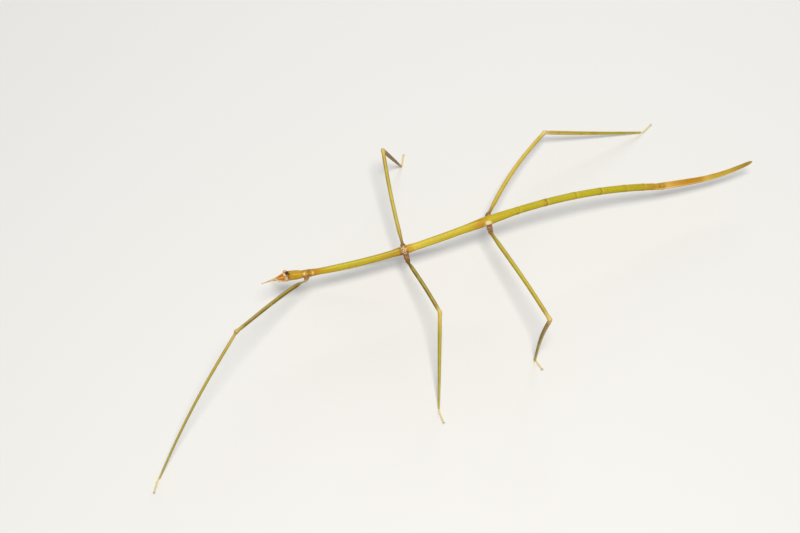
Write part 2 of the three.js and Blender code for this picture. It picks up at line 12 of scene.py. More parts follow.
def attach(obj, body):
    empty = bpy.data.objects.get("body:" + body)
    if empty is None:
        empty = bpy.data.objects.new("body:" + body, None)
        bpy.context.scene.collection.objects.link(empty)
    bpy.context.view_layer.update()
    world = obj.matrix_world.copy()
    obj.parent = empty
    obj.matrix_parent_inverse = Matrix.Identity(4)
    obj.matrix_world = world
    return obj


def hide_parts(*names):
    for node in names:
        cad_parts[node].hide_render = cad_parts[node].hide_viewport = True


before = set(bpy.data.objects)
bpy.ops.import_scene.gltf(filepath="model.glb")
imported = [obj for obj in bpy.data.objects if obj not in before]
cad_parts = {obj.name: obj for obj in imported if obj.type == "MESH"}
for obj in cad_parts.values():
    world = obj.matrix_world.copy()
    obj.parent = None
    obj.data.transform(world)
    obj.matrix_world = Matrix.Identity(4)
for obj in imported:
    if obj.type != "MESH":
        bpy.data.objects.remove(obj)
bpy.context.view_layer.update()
scene = bpy.context.scene

# ------------------------------------------------------------
# Camera: a long lens about a metre away, 60 degrees above the floor and 18 degrees toward her
# head, as one looks down on a model in a low case.

CAMERA_PLACE = (-0.18785, -0.50708, 0.94943)
CAMERA_AIM = (-0.02222, 0.00269, 0.02105)


def aimed(name, data, place, aim):
    """A camera or a light that stands at a place and points at an aim."""
    stand = bpy.data.objects.new(name, data)
    stand.location = place
    stand.rotation_euler = (Vector(aim) - Vector(place)).to_track_quat("-Z", "Y").to_euler()
    scene.collection.objects.link(stand)
    return stand


lens = bpy.data.cameras.new("camera")
lens.lens = 90
lens.sensor_width = 36
lens.clip_start = 0.01
scene.camera = aimed("camera", lens, CAMERA_PLACE, CAMERA_AIM)

# ------------------------------------------------------------
# Floor and lights: a plain pale studio floor, one large soft key light above her left side, a
# weaker one behind her and an even pale surrounding.

HALF_FLOOR = 4.0
FLOOR_DROP = 0.00004                # the soles rest on it without sharing its plane
FLOOR_COLOUR = (0.80, 0.79, 0.76, 1)
FLOOR_ROUGHNESS = 0.7
LIT_SPOT = (0, 0, 0.03)
LIGHTS = {                          # place, breadth, power and colour
    "key": ((-0.10, -0.46, 1.20), 0.22, 11.0, (1.0, 0.97, 0.92)),
    "back": ((0.55, 0.95, 0.75), 0.7, 4.0, (0.93, 0.96, 1.0))}
SURROUNDING_COLOUR = (0.95, 0.96, 1.0, 1)
SURROUNDING_STRENGTH = 0.42

floor_mesh = bpy.data.meshes.new("floor")
floor_corners = [(x * HALF_FLOOR, y * HALF_FLOOR, -FLOOR_DROP)
                 for x, y in ((-1, -1), (1, -1), (1, 1), (-1, 1))]
floor_mesh.from_pydata(floor_corners, [], [(0, 1, 2, 3)])
floor_finish = bpy.data.materials.new("studio floor")
floor_finish.use_nodes = True
floor_shader = floor_finish.node_tree.nodes["Principled BSDF"]
floor_shader.inputs["Base Color"].default_value = FLOOR_COLOUR
floor_shader.inputs["Roughness"].default_value = FLOOR_ROUGHNESS
floor_mesh.materials.append(floor_finish)
floor = bpy.data.objects.new("floor", floor_mesh)
scene.collection.objects.link(floor)

for light_name, (place, breadth, power, colour) in LIGHTS.items():
    light = bpy.data.lights.new(light_name, "AREA")
    light.shape = "DISK"
    light.size = breadth
    light.energy = power
    light.color = colour
    aimed(light_name, light, place, LIT_SPOT)

surrounding = bpy.data.worlds.new("studio")
surrounding.use_nodes = True
background = surrounding.node_tree.nodes["Background"]
background.inputs["Color"].default_value = SURROUNDING_COLOUR
background.inputs["Strength"].default_value = SURROUNDING_STRENGTH
scene.world = surrounding
scene.view_settings.view_transform = "Standard"

# ------------------------------------------------------------
# Trunk: the thorax, a rod of three fused rings that carries the legs, and the abdomen, nine more
# rings that slide in each other. It is one shell of yellow cuticle, keeled along the back, with a
# groove at each joint and a fold along each side where the back plates meet the belly plates.

ORIGIN = np.array([-73.4538, 2.6961, 0.0])     # under the middle line, between the fore coxae
STANCE_HEIGHT = 41.2
NECK_AT = -2.7
PROTHORAX_END = 2.8
MESOTHORAX_END = 56.2
METATHORAX_END = 86.5
MEDIAN_SEGMENT_END = 103
ABDOMEN_LENGTHS = [15.5, 15.3, 16.3, 15.1, 15.4, 11.9, 6.4, 3.7, 3.4]
RING_ENDS = [MEDIAN_SEGMENT_END + float(x) for x in np.cumsum(ABDOMEN_LENGTHS)]
TRUNK_END = RING_ENDS[-1]
TRUNK_PITCHES = [                   # degrees, positive where it rises toward the tail
    [-4, -13.6], [6, -10.6], [20, -6.4], [36, -1.7], [48, 1.9], [56, 4.2], [68, 7.0], [84, 9.2],
    [100, 9.3], [115, 5.1], [130, -0.4], [145, -6.2], [160, -12.0], [175, -17.1], [190, -21.5],
    [206, -26.0]]
MID_COXA_AT = 54.2
HIND_COXA_AT = 101.1
TRUNK_HALF_WIDTHS = [
    [NECK_AT, 2.05], [0, 2.1], [7, 1.76], [18, 1.9], [46, 1.9], [MID_COXA_AT, 2.4], [61, 2.05],
    [84, 2.12], [HIND_COXA_AT - 1, 2.6], [107, 2.3], [118, 1.95], [190, 1.9], [TRUNK_END, 1.62]]
THORAX_FLATNESS = 0.94
ABDOMEN_FLATNESS = 1.02
RING_SWELL = 0.14
RING_SWELL_LENGTH = 1.3
TRUNK_SIDES = 56
METRE = 1000                        # in millimetres
HER_RIGHT = np.array([0.0, 1.0, 0.0])


def smooth(x, low, high):
    """Eased step from 0 at low to 1 at high."""
    t = np.clip((np.asarray(x, float) - low) / (high - low), 0, 1)
    return t * t * (3 - 2 * t)


def eased(table, x):
    """Value between [place, value] pairs, eased from each to the next."""
    places, values = np.array(table, float).T
    x = np.asarray(x, float)
    i = np.clip(np.searchsorted(places, x), 1, len(places) - 1)
    t = np.clip((x - places[i - 1]) / (places[i] - places[i - 1]), 0, 1)
    return values[i - 1] + (values[i] - values[i - 1]) * t * t * (3 - 2 * t)


def swell(x, at, width):
    """A rounded hump of height 1."""
    return np.exp(-((np.asarray(x, float) - at) / width) ** 2)


def rounded(x, start, end, least):
    """How much of a section is left where a shell closes like a dome."""
    return np.sqrt(np.clip(1 - smooth(x, start, end) ** 2, least, 1))


def run(ways, step):
    """How far a line has come at each point, from its ways and its step."""
    return np.concatenate([[0], np.cumsum(ways[:-1])]) * step


def reach_along(points):
    """How far each point of a line lies from its start."""
    return np.concatenate([[0], np.cumsum(np.linalg.norm(np.diff(points, axis=0), axis=1))])


def middle_way(slope):
    """The way of a line in her middle plane."""
    return np.stack([np.cos(slope), 0 * slope, np.sin(slope)], -1)


def trunk_slope(s):
    return np.radians(np.interp(s, *np.array(TRUNK_PITCHES).T))


LINE_STEP = 0.05
line_s = np.arange(-3.5, TRUNK_END + 3, LINE_STEP)
line_slope = trunk_slope(line_s + LINE_STEP / 2)
line_x = run(np.cos(line_slope), LINE_STEP)
line_z = run(np.sin(line_slope), LINE_STEP)
line_x += ORIGIN[0] - np.interp(0, line_s, line_x)
line_z += STANCE_HEIGHT - np.interp(0, line_s, line_z)


def trunk_place(s):
    s = np.asarray(s, float)
    return np.stack([np.interp(s, line_s, line_x), np.full(s.shape, ORIGIN[1]),
                     np.interp(s, line_s, line_z)], -1)


def trunk_way(s):
    return middle_way(trunk_slope(s))


def around_turns(sides):
    """Angles round a section in degrees: 0 is her right, 90 the top. The first is at the belly."""
    return -90 + 360 * np.arange(sides) / sides


def apart(turns, at):
    """How far angles in degrees are from one angle."""
    return np.abs((turns - at + 180) % 360 - 180)


def crest(turns, at, width):
    """A rounded hump over one angle of a section."""
    return swell(apart(turns, at), 0, width)


CAP_REACH = 0.5                     # closed ends, gaps between strips and the map, in millimetres
STRIP_MARGIN = 0.45
STRIP_SPARE = 1.5
SMALLEST_MAP = 70


class Shell:
    """A closed skin over rings of points. Its Lay map says how far along it and how far round a
    point is. Its OFBake map lays the shell out as flat strips, to the scale of the real surface."""

    def __init__(self, name, places, across, above, wide, high, along, finish=0):
        rings, sides = wide.shape
        points = (places[:, None] + across[:, None] * wide[..., None]
                  + above[:, None] * high[..., None])
        self.name, self.finish = name, finish
        self.rings, self.sides = rings, sides
        self.points = np.concatenate(
            [points.reshape(-1, 3), [points[0].mean(0), points[-1].mean(0)]])
        self.along = np.asarray(along, float)
        self.reach = reach_along(places)
        self.girth = np.linalg.norm(points - np.roll(points, 1, 1), axis=-1).sum(1).max()
        ring, side = (grid.ravel() for grid in np.meshgrid(
            np.arange(rings - 1), np.arange(sides), indexing="ij"))
        after = (side + 1) % sides
        a, b = ring * sides, (ring + 1) * sides
        self.quads = np.stack([a + side, a + after, b + after, b + side], 1)
        self.quad_rings = np.stack([ring, ring, ring + 1, ring + 1], 1)
        self.quad_sides = np.stack([side, side + 1, side + 1, side], 1)
        side = np.arange(sides)
        after = (side + 1) % sides
        last = (rings - 1) * sides
        centre = np.full(sides, rings * sides)
        self.caps = np.concatenate([np.stack([after, side, centre], 1),
                                    np.stack([last + side, last + after, centre + 1], 1)])
        self.cap_rings = np.repeat([0, rings - 1], sides)
        self.cap_sides = np.concatenate([np.stack([side + 1, side, side + 0.5], 1),
                                         np.stack([side, side + 1, side + 0.5], 1)])

    def press_to_floor(self):
        self.points[:, 2] = np.maximum(self.points[:, 2], 0)

    def strips(self, length):
        """Cuts the shell's length into strips: the rings at which each starts and ends."""
        count = math.ceil(self.reach[-1] / length)
        cuts = np.searchsorted(self.reach, np.linspace(0, self.reach[-1], count + 1)[1:-1])
        bounds = [0, *[int(c) for c in cuts], self.rings - 1]
        return list(zip(bounds[:-1], bounds[1:]))

    def mesh(self):
        mesh = bpy.data.meshes.new(self.name)
        mesh.from_pydata((self.points / METRE).tolist(), [],
                         self.quads.tolist() + self.caps.tolist())
        quad_turns, cap_turns = self.quad_sides / self.sides, self.cap_sides / self.sides
        lay = np.concatenate([
            np.stack([self.along[self.quad_rings], quad_turns], -1).reshape(-1, 2),
            np.stack([np.repeat(self.along[self.cap_rings], 3), cap_turns.ravel()], -1)])
        flat = np.zeros_like(lay)
        four = len(self.quads) * 4
        for (start, end), (x, y, scale) in zip(self.cuts, self.spots):
            inside = (self.quad_rings[:, 0] >= start) & (self.quad_rings[:, 0] < end)
            place = np.stack([x + (self.reach[self.quad_rings] - self.reach[start]) * scale,
                              y + quad_turns * self.girth * scale], -1)
            flat[:four].reshape(-1, 4, 2)[inside] = place[inside]
        # A closed end is a fan on the outer edge of its strip
        (x0, y0, scale), (x1, y1, _) = self.spots[0], self.spots[-1]
        tip = CAP_REACH * scale
        far = x1 + (self.reach[self.cuts[-1][1]] - self.reach[self.cuts[-1][0]]) * scale
        edge = np.repeat([[x0, -tip, y0], [far, tip, y1]], self.sides, 0)
        fans = np.stack([edge[:, :1] + edge[:, 1:2] * [0, 0, 1],
                         edge[:, 2:] + cap_turns * self.girth * scale], -1)
        flat[four:] = fans.reshape(-1, 2)
        for name, spots in (("Lay", lay), ("OFBake", flat)):
            layer = mesh.uv_layers.new(name=name)
            layer.uv.foreach_set("vector", spots.astype(np.float32).ravel())
        mesh.polygons.foreach_set(
            "material_index", np.full(len(mesh.polygons), self.finish, np.int32))
        return mesh


def lay_out_strips(shells):
    """Places every shell's strips on one square map, in rows, as large as they all fit."""
    side = SMALLEST_MAP
    while True:
        x = y = STRIP_MARGIN + CAP_REACH
        row = 0
        for shell in shells:
            shell.cuts = shell.strips(side - 2 * (CAP_REACH + STRIP_MARGIN) - STRIP_SPARE)
            shell.spots = []
            for start, end in shell.cuts:
                length = shell.reach[end] - shell.reach[start]
                if x + length + CAP_REACH + STRIP_MARGIN > side:
                    x = STRIP_MARGIN + CAP_REACH
                    y += row + STRIP_MARGIN
                    row = 0
                shell.spots.append((x, y))
                x += length + 2 * CAP_REACH + STRIP_MARGIN
                row = max(row, shell.girth)
        if y + row + STRIP_MARGIN <= side:
            break
        side += 1
    for shell in shells:
        shell.spots = [(x / side, y / side, 1 / side) for x, y in shell.spots]


HEAD_LENGTH = 13.6
SPAN_START = NECK_AT - HEAD_LENGTH
SPAN = TRUNK_END + 1 - SPAN_START    # the Lay map's first number runs 0 to 1 over this length
JOINTS = [PROTHORAX_END, MESOTHORAX_END, METATHORAX_END, MEDIAN_SEGMENT_END, *RING_ENDS[:-1]]
JOINT_DEPTHS = [0.3, 0.26, 0.1, 0.12, *[0.2] * 8]
JOINT_WIDTH = 0.17
TRUNK_STEP = 0.75
NEAR = 1.6                          # within this of a joint, only the closer stations are used
NEAR_JOINT = [-1.5, -1, -0.7, -0.5, -0.35, -0.22, -0.1, 0, 0.1, 0.22, 0.35, 0.5, 0.8, 1.2]


def trunk_stations():
    even = np.arange(NECK_AT - 0.3, TRUNK_END + 0.2, TRUNK_STEP)
    close = [joint + d for joint in JOINTS for d in NEAR_JOINT]
    even = [s for s in even if min(abs(s - joint) for joint in JOINTS) > NEAR]
    ends = [TRUNK_END - 0.1, TRUNK_END + 0.25, TRUNK_END + 0.55, TRUNK_END + 0.75, TRUNK_END + 0.85]
    return np.array(sorted([*even, *close, *ends]))


def trunk_shell():
    s = trunk_stations()
    half = eased(TRUNK_HALF_WIDTHS, s)
    thorax = 1 - smooth(s, MEDIAN_SEGMENT_END - 4, MEDIAN_SEGMENT_END + 4)
    flatness = ABDOMEN_FLATNESS + (THORAX_FLATNESS - ABDOMEN_FLATNESS) * thorax
    for end, depth in zip(JOINTS, JOINT_DEPTHS):
        half -= depth * swell(s, end, JOINT_WIDTH)
        if end >= MEDIAN_SEGMENT_END:
            half += RING_SWELL * swell(s, end, RING_SWELL_LENGTH) * (s < end)
    # The pronotum's rims, and the neck that sinks into the head
    half += 0.1 * swell(s, 2.2, 0.45) + 0.08 * swell(s, -1.9, 0.4)
    half -= 0.3 * (1 - smooth(s, NECK_AT - 0.2, NECK_AT + 0.7))

    # Keels along the back and the thorax's sides, the abdomen's folds, and a low keel below
    s2, a2 = s[:, None], around_turns(TRUNK_SIDES)[None, :]
    on_thorax = (smooth(s, 4, 8) * thorax)[:, None]
    on_abdomen = (1 - thorax)[:, None]
    ridge = 0.09 * on_thorax * crest(a2, 90, 7) + 0.05 * on_abdomen * crest(a2, 90, 8)
    for side in (8, 172):
        ridge += 0.07 * on_thorax * crest(a2, side, 8)
    for side in (-14, 194):
        ridge += on_abdomen * (-0.1 * crest(a2, side, 6) + 0.05 * swell(apart(a2, side), 14, 7))
    ridge += 0.06 * crest(a2, -90, 9)
    # A cross-shaped dent on the pronotum
    ridge -= 0.09 * swell(s2, 0.1, 0.35) * crest(a2, 90, 45)
    ridge -= 0.06 * swell(s2, 0.1, 1.6) * crest(a2, 90, 7)

    # The last ring closes in a small rounded plate
    close = rounded(s2, TRUNK_END - 0.2, TRUNK_END + 0.95, 0.004)
    sideways, upward = np.cos(np.radians(a2)), np.sin(np.radians(a2))
    wide = (half[:, None] + ridge) * sideways * close
    high = ((half * flatness)[:, None] * upward + ridge * upward) * close
    across = np.tile(HER_RIGHT, (len(s), 1))
    return Shell("trunk", trunk_place(s), across, np.cross(trunk_way(s), across), wide, high,
                 (s - SPAN_START) / SPAN)


trunk = trunk_shell()


class Wire:
    """A value that runs between nodes. Arithmetic on it adds Math nodes."""

    def __init__(self, board, socket):
        self.board = board
        self.socket = socket

    def math(self, operation, *others):
        return self.board.node("ShaderNodeMath", {"operation": operation},
                               dict(enumerate((self, *others))))

    def __add__(self, other):
        return self.math("ADD", other)

    __radd__ = __add__

    def __mul__(self, other):
        return self.math("MULTIPLY", other)

    __rmul__ = __mul__

    def __sub__(self, other):
        return self.math("SUBTRACT", other)

    def __rsub__(self, other):
        return self.board.node("ShaderNodeMath", {"operation": "SUBTRACT"}, {0: other, 1: self})

    def __truediv__(self, other):
        return self.math("DIVIDE", other)

    def __pow__(self, other):
        return self.math("POWER", other)

    def __abs__(self):
        return self.math("ABSOLUTE")


class Board:
    """A node tree that is being wired."""

    def __init__(self, tree):
        self.tree = tree

    def plug(self, socket, value):
        if isinstance(value, Wire):
            self.tree.links.new(value.socket, socket)
        else:
            socket.default_value = value

    def node(self, kind, settings=None, inputs=None, output=0):
        """Any node: its settings are set first, then the values or links of its sockets."""
        node = self.tree.nodes.new(kind)
        for key, value in (settings or {}).items():
            if key == "stops":
                ramp = node.color_ramp
                while len(ramp.elements) < len(value):
                    ramp.elements.new(0)
                for element, (place, colour) in zip(ramp.elements, value):
                    element.position = place
                    element.color = colour
            else:
                setattr(node, key, value)
        for key, value in (inputs or {}).items():
            self.plug(node.inputs[key], value)
        return Wire(self, node.outputs[output])


def tint(red, green, blue):
    """A colour given as a painter's 0 to 255 numbers."""
    return tuple(((c / 255 + 0.055) / 1.055) ** 2.4 if c > 10 else c / 255 / 12.92
                 for c in (red, green, blue)) + (1.0,)


class Finish(Board):
    """A material with one main shader. Its base colour is built up tone by tone."""

    def __init__(self, name, roughness=0.45):
        self.material = bpy.data.materials.new(name)
        self.material.use_nodes = True
        super().__init__(self.material.node_tree)
        self.shader = self.tree.nodes["Principled BSDF"]
        self.set("Roughness", roughness)
        self.where = self.node("ShaderNodeTexCoord", None, None, 3)

    def set(self, socket, value):
        self.plug(self.shader.inputs[socket], value)

    def mix(self, factor, first, second):
        return self.node("ShaderNodeMix", {"data_type": "RGBA"},
                         {0: factor, 6: first, 7: second}, 2)

    def tinge(self, much, *tone):
        """Lays a tone over the base colour, by an amount that may change over the surface."""
        self.base = self.mix(much, self.base, tint(*tone))

    def step(self, value, low, high):
        """Eased from 0 at low to 1 at high."""
        return self.node("ShaderNodeMapRange", {"interpolation_type": "SMOOTHSTEP"},
                         {"Value": value, "From Min": low, "From Max": high})

    def fade(self, value, low, high):
        """Eased from 1 at low to 0 at high."""
        return 1 - self.step(value, low, high)

    def hump(self, value, at, width):
        """1 at one place, falling to 0 at a width to both sides."""
        return self.fade(abs(value - at), 0, width)

    def noise(self, scale, detail, roughness, where=None):
        return self.node("ShaderNodeTexNoise", None, {
            "Vector": where or self.where, "Scale": scale, "Detail": detail,
            "Roughness": roughness})

    def streaks(self, flow, length, around, scale, detail, roughness):
        """Noise that is drawn out along a piece, or across it."""
        along, side, height = flow
        return self.noise(scale, detail, roughness, self.node("ShaderNodeCombineXYZ", None, {
            0: along * length, 1: side * around, 2: height * around}))

    def cells(self, scale):
        """How far a point lies from the middle of its small cell."""
        return self.node("ShaderNodeTexVoronoi", None, {"Vector": self.where, "Scale": scale})

    def lay(self):
        """Place along the piece, the sine and cosine of the angle round it from the top, and that
        angle. It is negative on her right."""
        pair = self.node("ShaderNodeUVMap", {"uv_map": "Lay"})
        along = self.node("ShaderNodeSeparateXYZ", None, {0: pair})
        around = self.node("ShaderNodeSeparateXYZ", None, {0: pair}, 1)
        turn = (around - 0.5) * (2 * math.pi)
        return along, turn.math("SINE"), turn.math("COSINE"), turn

    def colour_along(self, value, stops):
        return self.node("ShaderNodeValToRGB", {"stops": stops}, {0: value})

    def finished(self, relief, depth, strength, roughness=None, specular=0.5):
        """The material, once its colour, its fine relief and its gloss are joined to it."""
        self.set("Base Color", self.base)
        self.set("Normal", self.node("ShaderNodeBump", None, {
            "Height": relief, "Distance": depth, "Strength": strength}))
        if roughness:
            self.set("Roughness", roughness)
        self.set("Specular IOR Level", specular)
        return self.material


# Trunk and head: tones from the face to the tail, each after its distance from the fore coxae.
TRUNK_TONES = [
    (-16.3, 200, 138, 70), (-13.2, 206, 138, 58), (-11.8, 204, 164, 98),
    (-10.2, 178, 124, 24), (-8.5, 190, 146, 18), (-4.0, 192, 148, 14), (-2.6, 172, 118, 18),
    (-0.5, 178, 130, 24), (2.6, 182, 122, 32), (4.0, 184, 128, 10), (9.0, 190, 158, 12),
    (20.0, 186, 168, 16), (38.0, 184, 162, 10), (48.0, 174, 140, 6), (51.5, 176, 130, 14),
    (55.5, 202, 156, 22), (60.0, 212, 186, 48), (74.0, 196, 176, 42), (88.0, 198, 178, 26),
    (97.0, 186, 146, 14), (103.0, 194, 172, 12), (120.0, 184, 168, 16), (150.0, 184, 170, 18),
    (175.0, 184, 170, 10), (192.0, 178, 158, 12), (205.0, 190, 146, 20)]


def stops_over(tones, start, span):
    return [((place - start) / span, tint(*tone)) for place, *tone in tones]


def trunk_finish():
    finish = Finish("yellow cuticle", 0.42)
    step, fade, hump, tinge = finish.step, finish.fade, finish.hump, finish.tinge
    along, side, height, turn = finish.lay()
    s = along * SPAN + SPAN_START
    flow = (s, side, height)
    grain = finish.noise(1500, 2, 0.6)
    fine = finish.noise(2900, 2, 0.6)
    mid_grain = finish.noise(1900, 3, 0.65)
    wide_grain = finish.noise(760, 3, 0.55)
    finish.base = finish.colour_along(along, stops_over(TRUNK_TONES, SPAN_START, SPAN))

    # Fine streaks that run lengthwise, some paler and some more orange
    streak = finish.streaks(flow, 0.045, 2.6, 2.6, 4, 0.6)
    blotch = finish.streaks(flow, 0.16, 0.9, 1.4, 3, 0.55)
    tinge(step(streak, 0.50, 0.72) * 0.42, 216, 200, 66)
    tinge(fade(streak, 0.28, 0.47) * 0.45, 134, 98, 8)
    tinge(step(blotch, 0.55, 0.75) * 0.3, 150, 146, 12)

    # A painted highlight as a pale line along the keel, and painted shade that browns the flanks
    on_thorax = step(s, 6, 14) * fade(s, 92, 100)
    tinge(step(height, 0.955, 0.995) * on_thorax * 0.45, 226, 206, 92)
    tinge(fade(abs(height), 0.0, 0.5) * 0.45, 134, 88, 8)

    def at_rings(shift, before, after):
        """1 at a shift from each joint of the abdomen, falling to 0 before and after it."""
        stops = []
        for joint in RING_ENDS[:-1]:
            for d, level in ((-before, 0), (0, 1), (after, 0)):
                stops.append(((joint + shift + d - SPAN_START) / SPAN, (level, level, level, 1)))
        return finish.colour_along(along, stops)

    # Rings of the abdomen: a thin dark line at each joint, and broken orange-brown marks before it
    dash = step(finish.noise(900, 2, 0.5), 0.44, 0.56)
    tinge(at_rings(-1.0, 1.3, 0.8) * dash * (0.8 - step(s, 132, 150) * 0.5), 178, 92, 12)
    tinge(at_rings(0.7, 0.5, 0.8) * 0.45, 222, 204, 84)
    tinge(at_rings(0, 0.3, 0.3) * 0.7, 104, 68, 10)
    tinge(step(s, 184, 196) * dash * 0.4, 198, 124, 26)

    # Cream speckles over reddish brown where the middle legs are set in, orange behind them
    low = fade(height, 0.35, 0.9)
    tinge(hump(s, MID_COXA_AT + 3.2, 2.0) * 0.35, 190, 112, 16)
    tinge(step(hump(s, MID_COXA_AT - 0.8, 4.6) + (wide_grain - 0.5) * 0.5, 0.3, 0.7)
          * (0.55 + low * 0.35), 112, 58, 22)
    tinge(step(hump(s, MID_COXA_AT - 0.5, 4.2) * 0.3 + mid_grain, 0.79, 0.84), 250, 220, 180)

    # Orange streaks before the hind legs, brown and speckled at their roots, with a cream spot
    tinge(step(streak, 0.48, 0.6) * hump(s, HIND_COXA_AT - 4.5, 6) * 0.65, 186, 108, 10)
    tinge(hump(s, HIND_COXA_AT - 1, 3.0) * low * step(grain, 0.38, 0.5) * 0.85, 112, 62, 22)
    tinge(step(hump(s, HIND_COXA_AT - 1.8, 4.5) * low * 0.3 + mid_grain, 0.76, 0.84) * 0.9,
          236, 196, 150)
    spot = hump(s - turn * 0.8, HIND_COXA_AT - 1.0, 3.4) * hump(turn, 1.05, 1.0)
    tinge(step(spot + (mid_grain - 0.5) * 1.1, 0.3, 0.78) * 0.9, 246, 226, 172)

    # The pronotum: cream spots at its front, brown in its middle, a cream edge behind
    tinge(hump(s, -2.0, 1.3) * hump(turn, 0.45, 0.8) * step(fine, 0.40, 0.5), 248, 224, 146)
    tinge(hump(s, 0.6, 1.0) * step(grain, 0.36, 0.55) * 0.7, 112, 68, 22)
    tinge(hump(s, 2.7, 1.0) * hump(turn, 0.6, 0.9) * step(fine, 0.36, 0.48), 250, 228, 146)
    # Painted shade: brown over the lower half of the pronotum and neck
    tinge(hump(s, 0.2, 2.2) * fade(height, -0.1, 0.3) * 0.8, 104, 58, 26)

    # The head: golden behind, with pale streaks between its sutures
    on_head = fade(s, -3.4, -2.4)
    for suture in (-0.73, 0, 0.73):
        tinge(hump(turn, suture, 0.10) * hump(s, -6.5, 4) * 0.45, 120, 78, 8)
    tinge(hump(turn, 0.42, 0.22) * hump(s, -6.8, 3.4) * step(wide_grain, 0.4, 0.6) * 0.55,
          224, 194, 74)

    # Cream cheeks, pinkish toward the jaws, with a brown stripe behind each eye
    cheek = on_head * fade(height, -0.25, 0.1) * fade(s, -9.8, -6.8)
    tinge(cheek * 0.9, 216, 168, 104)
    tinge(cheek * step(wide_grain, 0.48, 0.6) * 0.6, 200, 126, 86)
    tinge(on_head * hump(height, -0.02, 0.16) * hump(s, -7.4, 3.0) * 0.6, 126, 70, 20)

    # The orange face with its cream ridges and browner middle
    face = fade(s, -13.4, -12.7)
    tinge(face * step(height, 0.0, 0.4) * 0.9, 196, 112, 26)
    tinge(face * hump(turn, 0, 0.34) * step(grain, 0.36, 0.6) * 0.5, 150, 80, 26)
    tinge(hump(abs(turn), 0.66, 0.2) * fade(s, -12.9, -12.2) * 0.85, 234, 202, 128)

    # A dark brown patch over the crown, broken up toward the left eye, and a pink bar before it
    band = hump(s + (wide_grain - 0.5) * 0.8, -11.0, 1.5) * step(height, 0.0, 0.3)
    tinge(step(band, 0.12, 0.4) * fade(turn + (wide_grain - 0.5) * 0.6, 0.15, 0.45) * 0.95,
          50, 24, 8)
    tinge(hump(s, -10.0, 1.3) * step(turn, -0.2, 0.1) * fade(turn, 0.8, 1.0)
          * step(grain, 0.44, 0.54) * 0.85, 84, 46, 18)
    bar = hump(s - turn * 0.8, -12.4, 0.75) * fade(abs(turn - 0.25), 0.5, 0.8)
    tinge(step(bar, 0.1, 0.5) * 0.95, 240, 196, 158)

    # Broken dark rims round the eyes
    out = ((s + 11.6) / 1.1) ** 2 + ((abs(turn) - 1.13) * 1.78) ** 2
    rim = hump(out ** 0.5 + (wide_grain - 0.5) * 0.7, 1.14, 0.26) * on_head
    tinge(step(rim, 0.1, 0.7) * step(fine, 0.34, 0.5) * 0.9, 58, 30, 14)

    # Sparse brown specks on the cuticle, its low grains and its fine cross wrinkles
    specks, grains = finish.cells(620), finish.cells(2300)
    wrinkle = finish.streaks(flow, 1.5, 0.5, 2.4, 4, 0.65)
    tinge(fade(specks, 0.08, 0.17) * 0.6, 128, 72, 14)
    tinge(fade(grains, 0.12, 0.4) * 0.22, 232, 214, 120)
    tinge(fade(wrinkle, 0.34, 0.46) * 0.3, 122, 80, 10)
    relief = (grain * 0.3 + streak * 0.5 + wrinkle * 0.5 + fade(grains, 0.05, 0.4) * 0.4
              + fade(specks, 0.05, 0.2) * 0.5)
    return finish.finished(relief, depth=0.00007, strength=0.9,
                           roughness=0.4 + grain * 0.24, specular=0.22)

# ------------------------------------------------------------
# Head: a capsule of hard cuticle that narrows forward into the face. It has raised rims round the
# eyes, a ridge from each eye to the feeler's socket, and fine sutures over the crown and cheeks.

HEAD_PITCH = -8.5
HEAD_YAW = -5
HEAD_WIDTHS = [[0, 2.1], [0.25, 2.55], [0.55, 2.62], [0.74, 2.15], [0.88, 1.4], [1, 0.8]]
HEAD_TOPS = [[0, 2.0], [0.3, 2.35], [0.64, 2.4], [0.82, 1.65], [1, 0.7]]
HEAD_DEPTHS = [[0, 2.0], [0.3, 2.3], [0.6, 2.3], [0.76, 1.9], [0.88, 1.4], [1, 0.6]]
HEAD_RISES = [[0, 0], [0.4, 0.1], [0.65, 0], [1, -1.2]]
HEAD_SIDES = 112
UP = np.array([0.0, 0.0, 1.0])
EYE = {"at": 0.655, "sideways": 2.1, "lift": 1.0, "lengths": (1.1, 1.0, 1.4), "lean": -25}

neck = trunk_place(NECK_AT)
head_way = np.array([
    math.cos(math.radians(HEAD_PITCH)) * math.cos(math.radians(HEAD_YAW)),
    math.cos(math.radians(HEAD_PITCH)) * math.sin(math.radians(HEAD_YAW)),
    math.sin(math.radians(HEAD_PITCH))])


def unit(v):
    v = np.asarray(v, float)
    return v / np.linalg.norm(v, axis=-1, keepdims=True)


head_across = unit(np.cross(UP, head_way))
head_above = np.cross(head_way, head_across)


def head_place(u):
    return neck - np.asarray(u, float)[..., None] * HEAD_LENGTH * head_way


def head_frame(u, sideways, lift, lean=0):
    """Turns points in the head's own axes (toward the neck, her right, up) into the model's."""
    tilt = Matrix.Rotation(math.radians(lean), 3, "Y")
    axes = np.stack([head_way, head_across, head_above], 1) @ np.array(tilt)
    centre = head_place(u) + head_across * sideways + head_above * lift
    return axes, centre


def between(x, low, rise_end, fall_start, high):
    """Eased up from 0 to 1 and, farther on, down to 0 again."""
    return smooth(x, low, rise_end) * (1 - smooth(x, fall_start, high))


def eye_frame(side):
    return head_frame(EYE["at"], side * EYE["sideways"], EYE["lift"], EYE["lean"])


